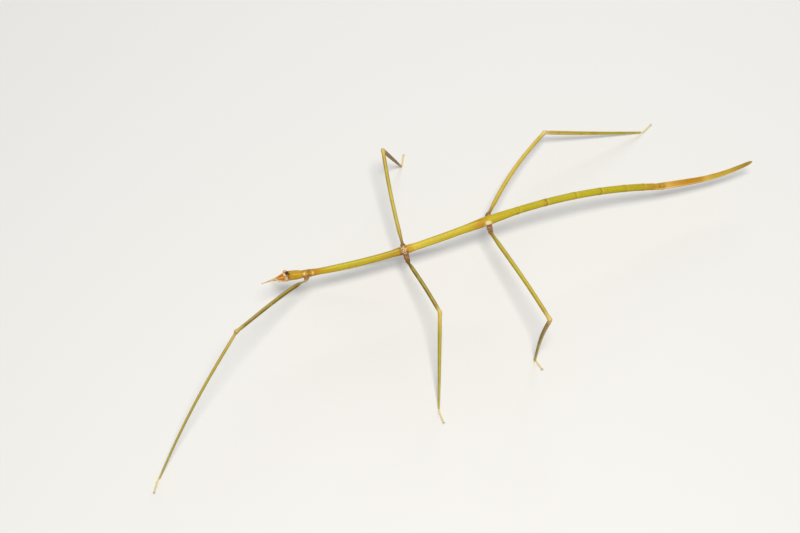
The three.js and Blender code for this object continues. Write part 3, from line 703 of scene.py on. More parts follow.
def head_shell():
    u = np.concatenate([np.linspace(-0.05, 0.04, 14), np.linspace(0.05, 0.985, 100),
                        [0.992, 1.0, 1.01, 1.018, 1.024, 1.027]])
    at = np.clip(u, 0, 1)
    u2, a2 = u[:, None], around_turns(HEAD_SIDES)[None, :]
    sideways, upward = np.cos(np.radians(a2)), np.sin(np.radians(a2))
    wide = eased(HEAD_WIDTHS, at)[:, None] * sideways
    high = np.where(upward > 0, eased(HEAD_TOPS, at)[:, None],
                    eased(HEAD_DEPTHS, at)[:, None]) * upward

    # The neck's soft ring and the collar of the crown before it
    relief = 0.05 * swell(u2, 0.075, 0.03) - 0.28 * (1 - smooth(u2, -0.01, 0.035))
    # Sutures: one along the crown, one on each side of it, and one under each eye
    relief = relief - 0.07 * crest(a2, 90, 3.5) * between(u2, 0.08, 0.14, 0.5, 0.58)
    for side in (48, 132):
        groove = 0.05 * crest(a2, side, 5) - 0.04 * swell(apart(a2, side), 11, 5)
        relief -= groove * between(u2, 0.1, 0.2, 0.45, 0.6)
    for side in (-22, 202):
        relief -= 0.08 * crest(a2, side, 5) * between(u2, 0.08, 0.2, 0.8, 0.9)
        relief += 0.12 * swell(apart(a2, side), 26, 16) * swell(u2, 0.68, 0.14)
    # A dent across the crown behind the eyes, and a pair of low warts before it
    relief -= 0.12 * swell(u2, 0.575, 0.022) * crest(a2, 90, 40)
    for side in (66, 114):
        relief += 0.2 * swell(u2, 0.615, 0.022) * crest(a2, side, 9)
    # Ridges from the eyes to the sockets of the feelers, with a trough between them
    for side in (52, 128):
        relief += 0.26 * crest(a2, side, 9) * between(u2, 0.7, 0.78, 0.95, 1.0)
    relief -= 0.16 * crest(a2, 90, 26) * swell(u2, 0.86, 0.08)
    # The edge of the face over the upper lip
    relief += 0.12 * swell(u2, 0.95, 0.014) * crest(a2, -90, 60)
    close = rounded(u2, 0.985, 1.03, 0.02)
    wide = (wide + relief * sideways) * close
    high = (high + relief * upward) * close

    # The raised rims round the eyes, and the skin sunk under them
    places = head_place(u) + UP * eased(HEAD_RISES, at)[:, None]
    for side in (-1, 1):
        axes, centre = eye_frame(side)
        points = places[:, None] + head_across * wide[..., None] + head_above * high[..., None]
        reach = np.linalg.norm((points - centre) @ axes / np.array(EYE["lengths"]), axis=-1)
        lift = 0.13 * swell(reach, 1.13, 0.11) - 0.1 * swell(reach, 1.5, 0.18)
        lift -= 0.5 * (1 - smooth(reach, 0.55, 0.98))
        wide = wide + lift * sideways
        high = high + lift * upward
    order = slice(None, None, -1)     # from the face to the neck, as the trunk runs
    along = (NECK_AT - np.clip(u, -0.05, 1) * HEAD_LENGTH - SPAN_START) / SPAN
    return Shell("head", places[order], np.tile(head_across, (len(u), 1)),
                 np.tile(head_above, (len(u), 1)), wide[order], high[order], along[order])


head = head_shell()

# ------------------------------------------------------------
# Legs: a short stout coxa set in the flank, a ring (the trochanter), a long keeled femur with a
# bulb at the knee, a keeled tibia, and a foot of five small bells.

GAP = 0.3                           # between the solids of two parts that meet
TROCHANTER_REACH = 1.6
KNEE_FACTOR = 1.1
FOLD_LIMIT = 115
FOLDED_ANGLE = 78
ANKLE_HEIGHT = 1.3
SOLE_HEIGHT = 0.3
TARSUS_RADIUS = 0.46
TARSOMERE_ENDS = [0.4, 0.58, 0.71, 0.82, 1]
LEG_SIDES = 16
LEG_STEP = 0.55
LEG_DOME = np.radians([80, 62, 42, 22])     # the rings that round off each end
KEEL_AT = 40                        # degrees above and below the section's sideways line
KEEL_WIDTH = 16
COXA_STATIONS = 26
COXA_SUNK = 0.24                    # part of the coxa's reach that starts inside the trunk
KNEE_LINK_FACTOR = 1.08
FOOT_STATIONS = 70

# Station on the trunk, lengths of femur, tibia and foot, radii of the femur, its root, and the
# tibia at both ends, the part of the femur over which it thickens and the part that it loses, and
# radii of the coxa at its root and shoulder and of the trochanter at both ends.
PAIRS = {
    "fore": (0, 74.7, 100.5, 7.4, 1.04, 0.42, 0.8, 0.5, 0.1, 0.14, (1.5, 1.45, 1.0, 0.6)),
    "mid": (MID_COXA_AT, 51, 60.3, 7.6, 1.08, 0.78, 1.07, 0.56, 0.14, 0.03, (1.6, 1.55, 1.35, 1.0)),
    "hind": (HIND_COXA_AT, 72.9, 60.7, 8.2, 1.16, 0.88, 1.08, 0.54, 0.14, 0.06,
             (1.65, 1.55, 1.35, 1.08))}

# Side, reach and drop of the coxa and its swing, then heading, lift, bow and sag of the femur with
# the skew of its bow, heading, bow and sideways sway of the tibia, and heading of the foot.
# Headings turn from the tail (0) through her flank (90) to the head.
STANCES = {
    "fore_left": (-1, (2.85, 0.73), -1.1, 138.1, 35.2, 1.3, 0, 0.55, 154.5, -1.6, -1.3, 120),
    "fore_right": (1, (2.0, 3.95), 4.2, 1.0, -3.1, 0, 2.2, 1, 168.2, 0, -1.4, 11),
    "mid_left": (-1, (4.46, 3.53), 0, 87.6, 27.1, -0.4, 0, 1, 107.7, 0, 0, 88),
    "mid_right": (1, (3.6, 2.1), 0.2, 84.9, 25.1, 0.7, 0, 1, 51.2, 0, 0, 64.2),
    "hind_left": (-1, (4.85, 3.04), -0.4, 85, 17.9, -0.55, 0, 1.2, 265, 1.6, 0, 75.9),
    "hind_right": (1, (4.85, 3.04), 1.6, 44.5, -13.5, 2.25, 0, 1, -3.3, 0.45, 0, 29.4)}


def pointing(side, heading, lift=0):
    heading, lift = math.radians(heading), math.radians(lift)
    return np.array([math.cos(lift) * math.cos(heading), side * math.cos(lift) * math.sin(heading),
                     math.sin(lift)])


def way_down(side, heading, start, length):
    steepness = min((start[2] - ANKLE_HEIGHT) / length, 1)
    return pointing(side, heading, -math.degrees(math.asin(steepness)))


def leg_shell(name, path, radii, along, plane, keels=0.0, flat=1.0, finish=0):
    """A closed tube along a path, with rounded ends. The plane is the one that the leg bends in:
    its normal is the section's sideways line. Keels stand out at the corners of the section."""
    way = unit(np.gradient(path, axis=0))
    start = [path[0] - way[0] * radii[0] * 0.9 * math.sin(a) for a in LEG_DOME]
    end = [path[-1] + way[-1] * radii[-1] * 0.9 * math.sin(a) for a in LEG_DOME[::-1]]
    path = np.concatenate([start, path, end])
    radii = np.concatenate([radii[0] * np.cos(LEG_DOME), radii,
                            radii[-1] * np.cos(LEG_DOME[::-1])])
    along, way = (np.concatenate([row[:1].repeat(4, 0), row, row[-1:].repeat(4, 0)])
                  for row in (np.asarray(along, float), way))
    across = unit(plane - way * (way @ plane)[:, None])
    turns = around_turns(LEG_SIDES)[None, :]
    corner = 1 + keels * sum(
        swell(np.minimum(apart(turns, at), apart(turns, 180 - at)), 0, KEEL_WIDTH)
        for at in (KEEL_AT, -KEEL_AT))
    wide = radii[:, None] * flat * corner * np.cos(np.radians(turns))
    high = radii[:, None] * corner * np.sin(np.radians(turns))
    return Shell(name, path, across, np.cross(way, across), wide, high, along, finish)


def spread(length):
    return np.linspace(0, 1, max(3, round(length / LEG_STEP)))


def leg_parts(name):
    """The shells of one leg, and where its foot ends: toe, heading and side."""
    side, coxa, swing, heading, lift, bow, sag, skew, *below_knee = STANCES[name]
    tibia_heading, tibia_bow, tibia_sway, foot_heading = below_knee
    station, femur, tibia, tarsus, thick, root, shin, shin_end, *rest = PAIRS[name.split("_")[0]]
    root_part, taper, coxa_radii = rest
    parts = []

    def add(part, path, radii, along, plane, keels=0, flat=1):
        parts.append(leg_shell(f"{part}_{name}", path, radii, along, plane, keels, flat,
                               1 + list(STANCES).index(name)))

    centre = trunk_place(station)
    femur_way = pointing(side, heading, lift)
    femur_flat = pointing(side, heading)
    coxa_end = centre + [swing, side * coxa[0], -coxa[1]]
    femur_root = coxa_end + femur_flat * TROCHANTER_REACH
    start = femur_root + femur_way * GAP / 2

    # The femur's line, and the hinge at the knee, which leaves room for a folded tibia
    t = spread(femur)
    bend_out = pointing(side, heading + 90) * bow - UP * sag
    femur_path = (start + np.outer(t, femur_way) * femur
                  + np.outer(np.sin(np.pi * t ** skew), bend_out))
    knee = femur_path[-1]
    first_way = way_down(side, tibia_heading, knee, tibia)
    bend = math.degrees(math.acos(np.clip(femur_way @ first_way, -1, 1)))
    folded = bend > FOLD_LIMIT
    reach = KNEE_FACTOR * thick + GAP + (shin if folded else 0)
    angle = math.radians(FOLDED_ANGLE if folded else bend)
    square = unit(first_way - femur_way * (femur_way @ first_way))
    hinge = knee + reach * (femur_way * math.cos(angle) + square * math.sin(angle))
    tibia_way = way_down(side, tibia_heading, hinge, tibia)
    plane = unit(np.cross(femur_way, tibia_way))
    up_plane = unit(np.cross(UP, femur_way))
    if plane @ up_plane < 0:
        plane = -plane

    # Coxa and trochanter
    inside = centre + np.array([0, side * coxa[0], -coxa[1]]) * COXA_SUNK
    tip = femur_root - femur_flat * GAP / 2
    knots = np.array([inside, inside + (coxa_end - inside) * 0.62,
                      coxa_end + (tip - coxa_end) * 0.45, tip])
    lengths = reach_along(knots)
    c = np.linspace(0, 1, COXA_STATIONS)
    d = c * lengths[-1]
    coxa_path = np.stack([np.interp(d, lengths, knots[:, i]) for i in range(3)], 1)
    for _ in range(3):
        coxa_path[1:-1] = (coxa_path[:-2] + 2 * coxa_path[1:-1] + coxa_path[2:]) / 4
    radii = np.interp(d, lengths, coxa_radii) - 0.06 * swell(c, 0.93, 0.04)
    radii += 0.1 * swell(c, 0.58, 0.06) - 0.16 * swell(c, 0.7, 0.035) + 0.06 * swell(c, 0.8, 0.05)
    add("coxa", coxa_path, radii, c / 4, up_plane, 0.03)

    # Femur
    shaft = (root + (thick - root) * smooth(t, 0.02, root_part)) * (1 - taper * smooth(t, 0.2, 0.9))
    radii = shaft + (KNEE_FACTOR - 1 + taper) * thick * swell(t, 1, 0.03)
    radii -= 0.1 * swell(t, 0.955, 0.012)
    add("femur", femur_path, radii, (1 + t) / 4, up_plane, 0.09, 0.97)

    # The knee's link, and the tibia with its small head and its flared end
    add("knee", knee + np.outer(np.linspace(0, 1, 4), hinge - knee),
        np.full(4, shin * KNEE_LINK_FACTOR), np.full(4, 0.5), plane)
    t = spread(tibia + GAP)
    sway_way = unit(np.cross(femur_way, tibia_way))
    bend_out = np.cross(sway_way, tibia_way) * tibia_bow + sway_way * tibia_sway
    tibia_path = (hinge + np.outer(t, tibia_way) * (tibia + GAP)
                  + np.outer(np.sin(np.pi * t), bend_out))
    radii = shin + (shin_end - shin) * t ** 1.5 + 0.06 * swell(t, 0.995, 0.012)
    radii -= 0.24 * shin * (1 - smooth(t, 0, 0.022))
    add("tibia", tibia_path, radii, (2 + t) / 4, plane, 0.1, 0.97)

    # Foot: it turns from the leg's heading to its own while it comes down to the floor
    ankle = tibia_path[-1]
    leg_way, foot_way = pointing(side, tibia_heading), pointing(side, foot_heading)
    t = np.linspace(0, 1, FOOT_STATIONS)
    turn = smooth(t, 0, 0.35)[:, None]
    ways = unit(leg_way * (1 - turn) + foot_way * turn)
    foot_path = ankle + np.cumsum(np.diff(t, prepend=0)[:, None] * ways * tarsus, 0)
    foot_path[:, 2] = ankle[2] + (SOLE_HEIGHT - ankle[2]) * smooth(t, 0, 0.3)
    starts, ends = np.array([0, *TARSOMERE_ENDS[:-1]]), np.array(TARSOMERE_ENDS)
    which = np.clip(np.searchsorted(ends, t), 0, 4)
    within = (t - starts[which]) / (ends[which] - starts[which])
    bells = 0.88 + 0.36 * smooth(within, 0.1, 0.95) - 0.26 * smooth(within, 0.93, 1.0)
    add("tarsus", foot_path, TARSUS_RADIUS * bells, (3 + t) / 4, np.cross(UP, foot_way))
    parts[-1].press_to_floor()
    return parts, (foot_path[-1], foot_heading, side)


# Tones of each leg from the coxa (0 to 1) through femur (to 2) and tibia (to 3) to the foot (to 4),
# with painted shade on some femora and tibiae.
# Painted shade: the fore femora (1.12 to 1.9) are darkened to olive.
FORE_TONES_SHADED_FEMUR = [
    (0, 120, 78, 36), (0.6, 126, 84, 40), (0.92, 178, 154, 108), (1.02, 160, 142, 92),
    (1.12, 118, 92, 22), (1.3, 114, 102, 16), (1.9, 122, 104, 20), (1.97, 170, 148, 74),
    (2.03, 190, 168, 92), (2.1, 164, 150, 56), (2.7, 152, 140, 42), (2.95, 162, 148, 58),
    (3.05, 224, 210, 150), (4, 220, 208, 156)]
MID_ROOT = [(0, 122, 76, 30), (0.5, 128, 74, 34), (0.9, 106, 62, 26)]
HIND_ROOT = [(0, 120, 76, 32), (0.5, 128, 80, 38), (0.9, 110, 66, 28)]
PALE_FOOT = [(3.06, 230, 212, 164), (4, 224, 208, 160)]
LEG_TONES_AND_SHADE = {
    "fore_left": FORE_TONES_SHADED_FEMUR,
    "fore_right": FORE_TONES_SHADED_FEMUR,
    # Painted shade: the left middle femur (1.0 to 1.9) is darkened.
    "mid_left": [*MID_ROOT, (1.0, 116, 84, 30), (1.2, 112, 98, 26), (1.9, 128, 112, 36),
                 (1.98, 216, 190, 108), (2.06, 206, 178, 74), (2.2, 164, 150, 30),
                 (2.7, 158, 152, 42), (2.97, 190, 178, 96), *PALE_FOOT],
    # Painted shade: the right middle tibia (2.06 to 2.75) is darkened to brown.
    "mid_right": [*MID_ROOT, (1.0, 140, 104, 46), (1.1, 174, 154, 58), (1.5, 182, 164, 72),
                  (1.75, 156, 138, 38), (1.93, 176, 150, 66), (1.99, 206, 174, 112),
                  (2.06, 150, 116, 62), (2.3, 124, 94, 40), (2.75, 134, 108, 46),
                  (2.97, 176, 154, 96), *PALE_FOOT],
    # Painted shade: the left hind tibia (2.05 to 2.8) is darkened.
    "hind_left": [*HIND_ROOT, (1.0, 140, 106, 40), (1.08, 168, 148, 38), (1.5, 174, 162, 44),
                  (1.92, 176, 156, 52), (1.99, 222, 194, 128), (2.05, 150, 116, 50),
                  (2.3, 122, 98, 28), (2.8, 128, 112, 30), (2.97, 170, 158, 84), *PALE_FOOT],
    "hind_right": [*HIND_ROOT, (1.0, 148, 112, 44), (1.08, 192, 164, 44), (1.5, 204, 174, 54),
                   (1.92, 200, 174, 66), (1.99, 224, 200, 142), (2.05, 200, 174, 88),
                   (2.3, 188, 168, 60), (2.8, 174, 164, 46), (2.97, 188, 176, 82), *PALE_FOOT]}


def leg_finish(name):
    finish = Finish(f"{name} leg cuticle")
    step, fade, tinge = finish.step, finish.fade, finish.tinge
    along, side, height, _ = finish.lay()
    streak = finish.streaks((along, side, height), 14, 1.6, 2.2, 4, 0.6)
    grain = finish.noise(1800, 2, 0.6)
    blotch = finish.noise(240, 3, 0.55)
    shaft = step(along, 0.26, 0.29) * fade(along, 0.74, 0.77)
    finish.base = finish.colour_along(along, stops_over(LEG_TONES_AND_SHADE[name], 0, 4))
    tinge(step(blotch, 0.55, 0.66) * shaft * 0.35, 172, 112, 28)
    tinge(fade(blotch, 0.34, 0.46) * shaft * 0.3, 182, 180, 44)
    tinge(step(streak, 0.5, 0.72) * 0.3, 216, 192, 82)
    tinge(fade(streak, 0.3, 0.47) * 0.28, 104, 74, 16)

    # A painted highlight as a pale line along the upper keels, painted shade that browns the sides,
    # and orange-brown under the femur
    tinge(step(height, 0.8, 0.99) * shaft * 0.35, 230, 206, 100)
    tinge(fade(abs(height + 0.25), 0.1, 0.6) * shaft * 0.35, 118, 84, 16)
    tinge(fade(height, -0.75, -0.35) * shaft * fade(along, 0.47, 0.49) * 0.5, 152, 88, 22)

    # The coxa: dark reddish brown with cream speckles and a cream edge, and pits along the shaft
    root = fade(along, 0.2, 0.24)
    speck = finish.noise(3400, 2, 0.6)
    tinge(root * fade(speck, 0.38, 0.5) * 0.7, 78, 34, 12)
    tinge(root * step(speck, 0.56, 0.61) * 0.85, 240, 208, 160)
    tinge(root * step(abs(side), 0.88, 0.98) * step(speck, 0.42, 0.5) * 0.7, 236, 206, 156)
    pit = fade(finish.cells(900), 0.07, 0.16) * shaft
    tinge(pit * 0.6, 96, 58, 16)
    return finish.finished(grain * 0.5 + streak * 0.5 - pit * 0.4, depth=0.00006, strength=0.9,
                           roughness=0.42 + grain * 0.22, specular=0.22)


leg_shells, toes = {}, {}
for leg_name in STANCES:
    leg_shells[leg_name], toes[leg_name] = leg_parts(leg_name)

# ------------------------------------------------------------
# Skin: head, trunk and legs are made one closed shell, so that no seam shows between them. The
# pieces that stay separate are the eyes, feelers, mouthparts, claws and the plates of the tail.

TRUNK_NODES = ["head", "prothorax", "mesothorax", "metathorax", "median_segment",
               *[f"abdomen_{number}" for number in range(2, 11)]]
LEG_NODES = [f"{part}_{leg}" for leg in STANCES for part in ("coxa", "femur", "tibia", "tarsus")]


def shown(name, mesh):
    piece = bpy.data.objects.new(name, mesh)
    scene.collection.objects.link(piece)
    return piece


def evaluated(piece):
    view = bpy.context.evaluated_depsgraph_get()
    return bpy.data.meshes.new_from_object(piece.evaluated_get(view), depsgraph=view)


def united(base, *others):
    """The first piece's mesh with the others' joined on as one closed shell."""
    for other in others:
        step = base.modifiers.new(other.name, "BOOLEAN")
        step.operation = "UNION"
        step.solver = "MANIFOLD"
        step.object = other
    mesh = evaluated(base)
    for piece in (base, *others):
        bpy.data.objects.remove(piece)
    return mesh


def smoothed(mesh, name, crease):
    """Names a mesh and smooths it, apart from edges that bend more than a crease in degrees."""
    mesh.name = name
    mesh.shade_smooth()
    mesh.set_sharp_from_angle(angle=math.radians(crease))
    return mesh


skin_finishes = [trunk_finish(), *[leg_finish(name) for name in STANCES]]


def flesh(shell):
    mesh = shell.mesh()
    for finish in skin_finishes:
        mesh.materials.append(finish)
    return shown(shell.name, mesh)


lay_out_strips([trunk, head, *[shell for shells in leg_shells.values() for shell in shells]])
legs = [shown(f"leg_{leg_name}", united(*[flesh(shell) for shell in shells]))
        for leg_name, shells in leg_shells.items()]
skin = shown("skin", smoothed(united(flesh(trunk), flesh(head), *legs), "skin", crease=48))
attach(skin, "root")
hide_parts(*TRUNK_NODES, *LEG_NODES)

# ------------------------------------------------------------
# Eyes: bulging compound eyes of cream yellow set in the sides of the head, each a ball of several
# hundred facets under a hard clear cornea, with faint brown bars.

EYE_FACETS = (72, 48)


def ball(name, axes, centre, lengths, facets, shape=None):
    """A ball stretched along its axes. A shape function may move its points before it is set."""
    steps, rows = facets
    turn = 2 * np.pi * np.arange(steps) / steps
    tilt = np.pi * np.arange(1, rows) / rows
    points = np.stack([np.outer(np.sin(tilt), np.cos(turn)), np.outer(np.sin(tilt), np.sin(turn)),
                       np.outer(np.cos(tilt), np.ones(steps))], -1).reshape(-1, 3)
    points = np.concatenate([points, [[0, 0, 1], [0, 0, -1]]])
    if shape:
        points = shape(points)
    points = points * lengths @ np.asarray(axes).T + centre
    faces = []
    for i in range(rows - 2):
        for j in range(steps):
            k = (j + 1) % steps
            faces.append((i * steps + j, (i + 1) * steps + j, (i + 1) * steps + k, i * steps + k))
    north, south, last = len(points) - 2, len(points) - 1, (rows - 2) * steps
    for j in range(steps):
        k = (j + 1) % steps
        faces.append((j, k, north))
        faces.append((last + k, last + j, south))
    mesh = bpy.data.meshes.new(name)
    mesh.from_pydata((points / METRE).tolist(), [], faces)
    mesh.shade_smooth()
    return mesh


def eye_finish():
    finish = Finish("cornea", 0.22)
    facets = finish.cells(8500)
    bars = finish.step(finish.noise(1500, 2, 0.5), 0.45, 0.7)
    finish.base = finish.mix(bars, tint(224, 196, 118), tint(190, 136, 74))
    finish.tinge(finish.step(facets, 0.35, 0.75) * 0.35, 150, 104, 52)
    finish.set("Coat Weight", 0.6)
    finish.set("Coat Roughness", 0.12)
    return finish.finished(1 - facets, depth=0.00003, strength=0.6)


cornea = eye_finish()
SIDES = {"left": -1, "right": 1}
for side_name, side in SIDES.items():
    eye_mesh = ball(f"eye_{side_name}", *eye_frame(side), EYE["lengths"], EYE_FACETS)
    eye_mesh.materials.append(cornea)
    eye = shown(f"compound_eye_{side_name}", eye_mesh)
    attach(eye, "root")
    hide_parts(f"eye_{side_name}")

# ------------------------------------------------------------
# Feelers: short and slim, held forward close together. Each has a stout first joint, a shorter
# second one and a whip of small ringed joints, strung by a rule along its middle line.

ANTENNA_LENGTH = 8.0
ANTENNA_ROOT = {"at": 0.9, "sideways": 0.42, "lift": -0.88}
ANTENNA_DROPS = {"left": 0.02, "right": 0.2}
ANTENNA_RADII = [[0, 0.4], [0.2, 0.37], [0.26, 0.34], [1, 0.2]]
WHIP_SPAN = (0.29, 0.985)           # parts of the feeler's length
WHIP_RADII = (0.34, 0.2)
WHIP_JOINTS = 17
WHIP_CONE = {"Vertices": 14, "Side Segments": 3, "Radius Top": 1.0, "Radius Bottom": 0.8,
             "Depth": 1.04}


def antenna_finish():
    finish = Finish("feeler cuticle", 0.5)
    grain = finish.noise(2500, 3, 0.6)
    bands = finish.step(finish.noise(420, 2, 0.5), 0.4, 0.65)
    finish.base = finish.mix(bands, tint(212, 184, 124), tint(188, 142, 78))
    finish.tinge(finish.step(grain, 0.5, 0.7) * 0.4, 236, 214, 168)
    return finish.finished(grain, depth=0.00003, strength=0.6, roughness=0.42 + grain * 0.2,
                           specular=0.25)


def whip_tree(material):
    """Strings a flared joint again and again from one point to another, each a bit slimmer."""
    tree = bpy.data.node_groups.new("feeler whip", "GeometryNodeTree")
    doors = tree.interface
    doors.new_socket("Geometry", in_out="INPUT", socket_type="NodeSocketGeometry")
    for name, kind in (("Start", "Vector"), ("End", "Vector"), ("Root radius", "Float"),
                       ("Tip radius", "Float"), ("Joints", "Int")):
        doors.new_socket(name, in_out="INPUT", socket_type=f"NodeSocket{kind}")
    doors.new_socket("Geometry", in_out="OUTPUT", socket_type="NodeSocketGeometry")
    board = Board(tree)
    given = tree.nodes.new("NodeGroupInput")
    asked = {socket.name: Wire(board, socket) for socket in given.outputs}
    ends = asked["Start"], asked["End"]
    line = board.node("GeometryNodeCurvePrimitiveLine", None, {"Start": ends[0], "End": ends[1]})
    spots = board.node("GeometryNodeResampleCurve", None, {"Curve": line, "Count": asked["Joints"]})
    points = board.node("GeometryNodeCurveToPoints", {"mode": "EVALUATED"}, {"Curve": spots})
    turning = Wire(board, points.socket.node.outputs["Rotation"])
    steps = asked["Joints"] - 1
    span = board.node("ShaderNodeVectorMath", {"operation": "DISTANCE"}, dict(enumerate(ends)), 1)
    radius = asked["Root radius"] + ((asked["Tip radius"] - asked["Root radius"])
                                     * (board.node("GeometryNodeInputIndex") / steps))
    cone = board.node("GeometryNodeMeshCone", {"fill_type": "TRIANGLE_FAN"}, WHIP_CONE)
    bulge = board.node("GeometryNodeSetShadeSmooth", None, {0: cone, 2: True})
    scale = board.node("ShaderNodeCombineXYZ", None, {0: radius, 1: radius, 2: span / steps})
    strung = board.node("GeometryNodeInstanceOnPoints", None, {
        "Points": points, "Instance": bulge, "Rotation": turning, "Scale": scale})
    real = board.node("GeometryNodeRealizeInstances", None, {0: strung})
    whole = board.node("GeometryNodeJoinGeometry", None, {0: real})
    tree.links.new(given.outputs[0], whole.socket.node.inputs[0])
    done = board.node("GeometryNodeSetMaterial", None, {"Geometry": whole, "Material": material})
    out = tree.nodes.new("NodeGroupOutput")
    tree.links.new(done.socket, out.inputs[0])
    return tree


def grown(piece, tree, **values):
    """The mesh that a tree of geometry nodes makes of a piece, with the tree's inputs by name."""
    step = piece.modifiers.new(tree.name, "NODES")
    step.node_group = tree
    for item in tree.interface.items_tree:
        name = item.name.replace(" ", "_").lower()
        if item.in_out == "INPUT" and name in values:
            step[item.identifier] = values[name]
    mesh = evaluated(piece)
    piece.modifiers.remove(step)
    return mesh


def on_its_own(shell, *finishes):
    """The smooth mesh of a shell that isn't part of the skin, with finishes of its own."""
    lay_out_strips([shell])
    mesh = shell.mesh()
    for finish in finishes:
        mesh.materials.append(finish)
    mesh.shade_smooth()
    return mesh


def without_maps(mesh):
    for layer in list(mesh.uv_layers):
        mesh.uv_layers.remove(layer)
    return mesh


def face_place(spot, side):
    """A place beside the face's middle line, level with her."""
    return head_place(spot["at"]) + [0, side * spot["sideways"], spot["lift"]]


feeler_skin = antenna_finish()
whip = whip_tree(feeler_skin)
for side_name, side in SIDES.items():
    root = face_place(ANTENNA_ROOT, side)
    way = np.array([-1.0, 0, -ANTENNA_DROPS[side_name]])
    way *= ANTENNA_LENGTH + (1 - ANTENNA_ROOT["at"]) * HEAD_LENGTH
    t = np.linspace(0, 0.27, 28)
    radii = eased(ANTENNA_RADII, t) - 0.12 * swell(t, 0.195, 0.009) - 0.1 * swell(t, 0.262, 0.008)
    radii += 0.04 * swell(t, 0.17, 0.015)
    stem = leg_shell(f"antenna_{side_name}", root + np.outer(t, way), radii, t, HER_RIGHT)
    feeler = shown(f"feeler_{side_name}", on_its_own(stem, feeler_skin))
    start, end = (Vector(root + way * part) / METRE for part in WHIP_SPAN)
    feeler.data = without_maps(grown(
        feeler, whip, start=start, end=end, root_radius=WHIP_RADII[0] / METRE,
        tip_radius=WHIP_RADII[1] / METRE, joints=WHIP_JOINTS))
    feeler.data.name = f"feeler_{side_name}"
    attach(feeler, "root")
    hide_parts(f"antenna_{side_name}")

# ------------------------------------------------------------
# Mouthparts: hard cream jaws at the sides, the lower lip between them, and jointed palps that
# hang in front. They are one piece with the head in life.

JAW = {"at": 0.7, "sideways": 1.25, "lift": -1.85, "lengths": (2.4, 1.05, 1.25)}
JAW_FACETS = (36, 24)
LIP = {"at": 0.76, "lift": -2.0, "lengths": (2.5, 1.3, 1.15)}
LIP_FACETS = (40, 26)
PALP = {"at": 0.84, "sideways": 0.9, "lift": -2.3, "length": 1.9, "spread": 0.4, "droop": 0.5}
PALP_RADII = [[0, 0.38], [0.5, 0.32], [1, 0.26]]
PALP_NOTCHES = (0.28, 0.55, 0.8)


def jaw_shape(points):
    """A jaw tapers forward and has a crease across its middle."""
    front = smooth(points[:, 0], 1.0, -1.0)
    points[:, 1:] *= (1 - 0.3 * front)[:, None]
    points[:, 1:] *= (1 - 0.1 * swell(points[:, 0], -0.05, 0.09))[:, None]
    return points


def lip_shape(points):
    """The lower lip is cleft along its middle, under the face."""
    low = smooth(-points[:, 2], 0.2, 0.9)
    points[:, 2] += 0.16 * swell(points[:, 1], 0, 0.12) * low
    points[:, 1:] *= (1 - 0.08 * swell(points[:, 0], -0.35, 0.08))[:, None]
    return points


def mouth_finish():
    finish = Finish("cream mouth cuticle", 0.42)
    grain = finish.noise(1500, 3, 0.6)
    patches = finish.step(finish.noise(520, 2, 0.5), 0.42, 0.66)
    finish.base = finish.mix(patches, tint(228, 204, 158), tint(214, 158, 130))
    finish.tinge(finish.step(grain, 0.52, 0.7) * 0.5, 240, 226, 190)
    finish.tinge(finish.fade(grain, 0.3, 0.42) * 0.5, 150, 96, 62)
    return finish.finished(grain, depth=0.00004, strength=0.7, roughness=0.34 + grain * 0.22)


def palp_shell(side_name, side):
    t = np.linspace(0, 1, 34)
    path = face_place(PALP, side) + np.stack([
        -PALP["length"] * t, side * PALP["spread"] * t, -PALP["droop"] * np.sin(np.pi * t)], 1)
    radii = eased(PALP_RADII, t) - 0.09 * sum(swell(t, place, 0.022) for place in PALP_NOTCHES)
    return leg_shell(f"palp_{side_name}", path, radii, t, HER_RIGHT)


mouth_meshes = [ball("jaw", *head_frame(JAW["at"], side * JAW["sideways"], JAW["lift"]),
                     JAW["lengths"], JAW_FACETS, jaw_shape) for side in SIDES.values()]
mouth_meshes.append(ball("lip", *head_frame(LIP["at"], 0, LIP["lift"]), LIP["lengths"],
                         LIP_FACETS, lip_shape))
mouth_meshes += [without_maps(on_its_own(palp_shell(*item))) for item in SIDES.items()]
mouth_skin = mouth_finish()
for mesh in mouth_meshes:
    mesh.materials.append(mouth_skin)
mouth_parts = [shown(mesh.name, mesh) for mesh in mouth_meshes]
mouth = shown("jaws_and_lips", smoothed(united(*mouth_parts), "mouthparts", crease=50))
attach(mouth, "root")
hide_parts("mouthparts")

# ------------------------------------------------------------
# Operculum: the long boat-shaped plate that carries the eggs. It grows from the belly side of the
# eighth ring, reaches far past the abdomen and has a keel below and an open trough above.

OPERCULUM_LENGTH = 66.5
OPERCULUM_LAP = 13.7
OPERCULUM_DROP = 1.4
OPERCULUM_PITCHES = (-17.1, -9.8, 23.2)     # at its root, middle and tip
OPERCULUM_STEPS = 2000
OPERCULUM_WIDTHS = [[0, 0.9], [0.1, 1.85], [0.2, 2.05], [0.35, 1.93], [0.6, 1.66], [0.8, 1.42],
                    [0.93, 1.15], [1, 0.78]]
OPERCULUM_DEPTHS = [[0, 0.5], [0.1, 1.35], [0.3, 1.65], [0.6, 1.4], [0.85, 1.05], [1, 0.6]]
# Half of the section from the keel over the rim to the trough, in half widths and half depths
BOAT_OUTSIDE = [(0, -1.05), (0.13, -1.0), (0.5, -0.8), (0.82, -0.42), (0.97, -0.05), (1.0, 0.28),
                (0.95, 0.48), (0.87, 0.55)]
BOAT_INSIDE = [(0.79, 0.5), (0.7, 0.3), (0.5, 0.02), (0.25, -0.14), (0, -0.18)]
BOAT_STEPS = 3                      # between each two points of the section
BOAT_FILL = 0.42                    # where the trough's floor rises to at both ends
OPERCULUM_TONES = [
    (0, 186, 150, 50), (0.18, 204, 168, 78), (0.24, 228, 190, 100), (0.32, 214, 164, 62),
    (0.42, 200, 148, 28), (0.54, 196, 148, 36), (0.6, 218, 190, 84), (0.66, 198, 168, 48),
    (0.78, 198, 174, 60), (0.88, 172, 148, 40), (0.95, 148, 126, 28), (1, 156, 140, 56)]


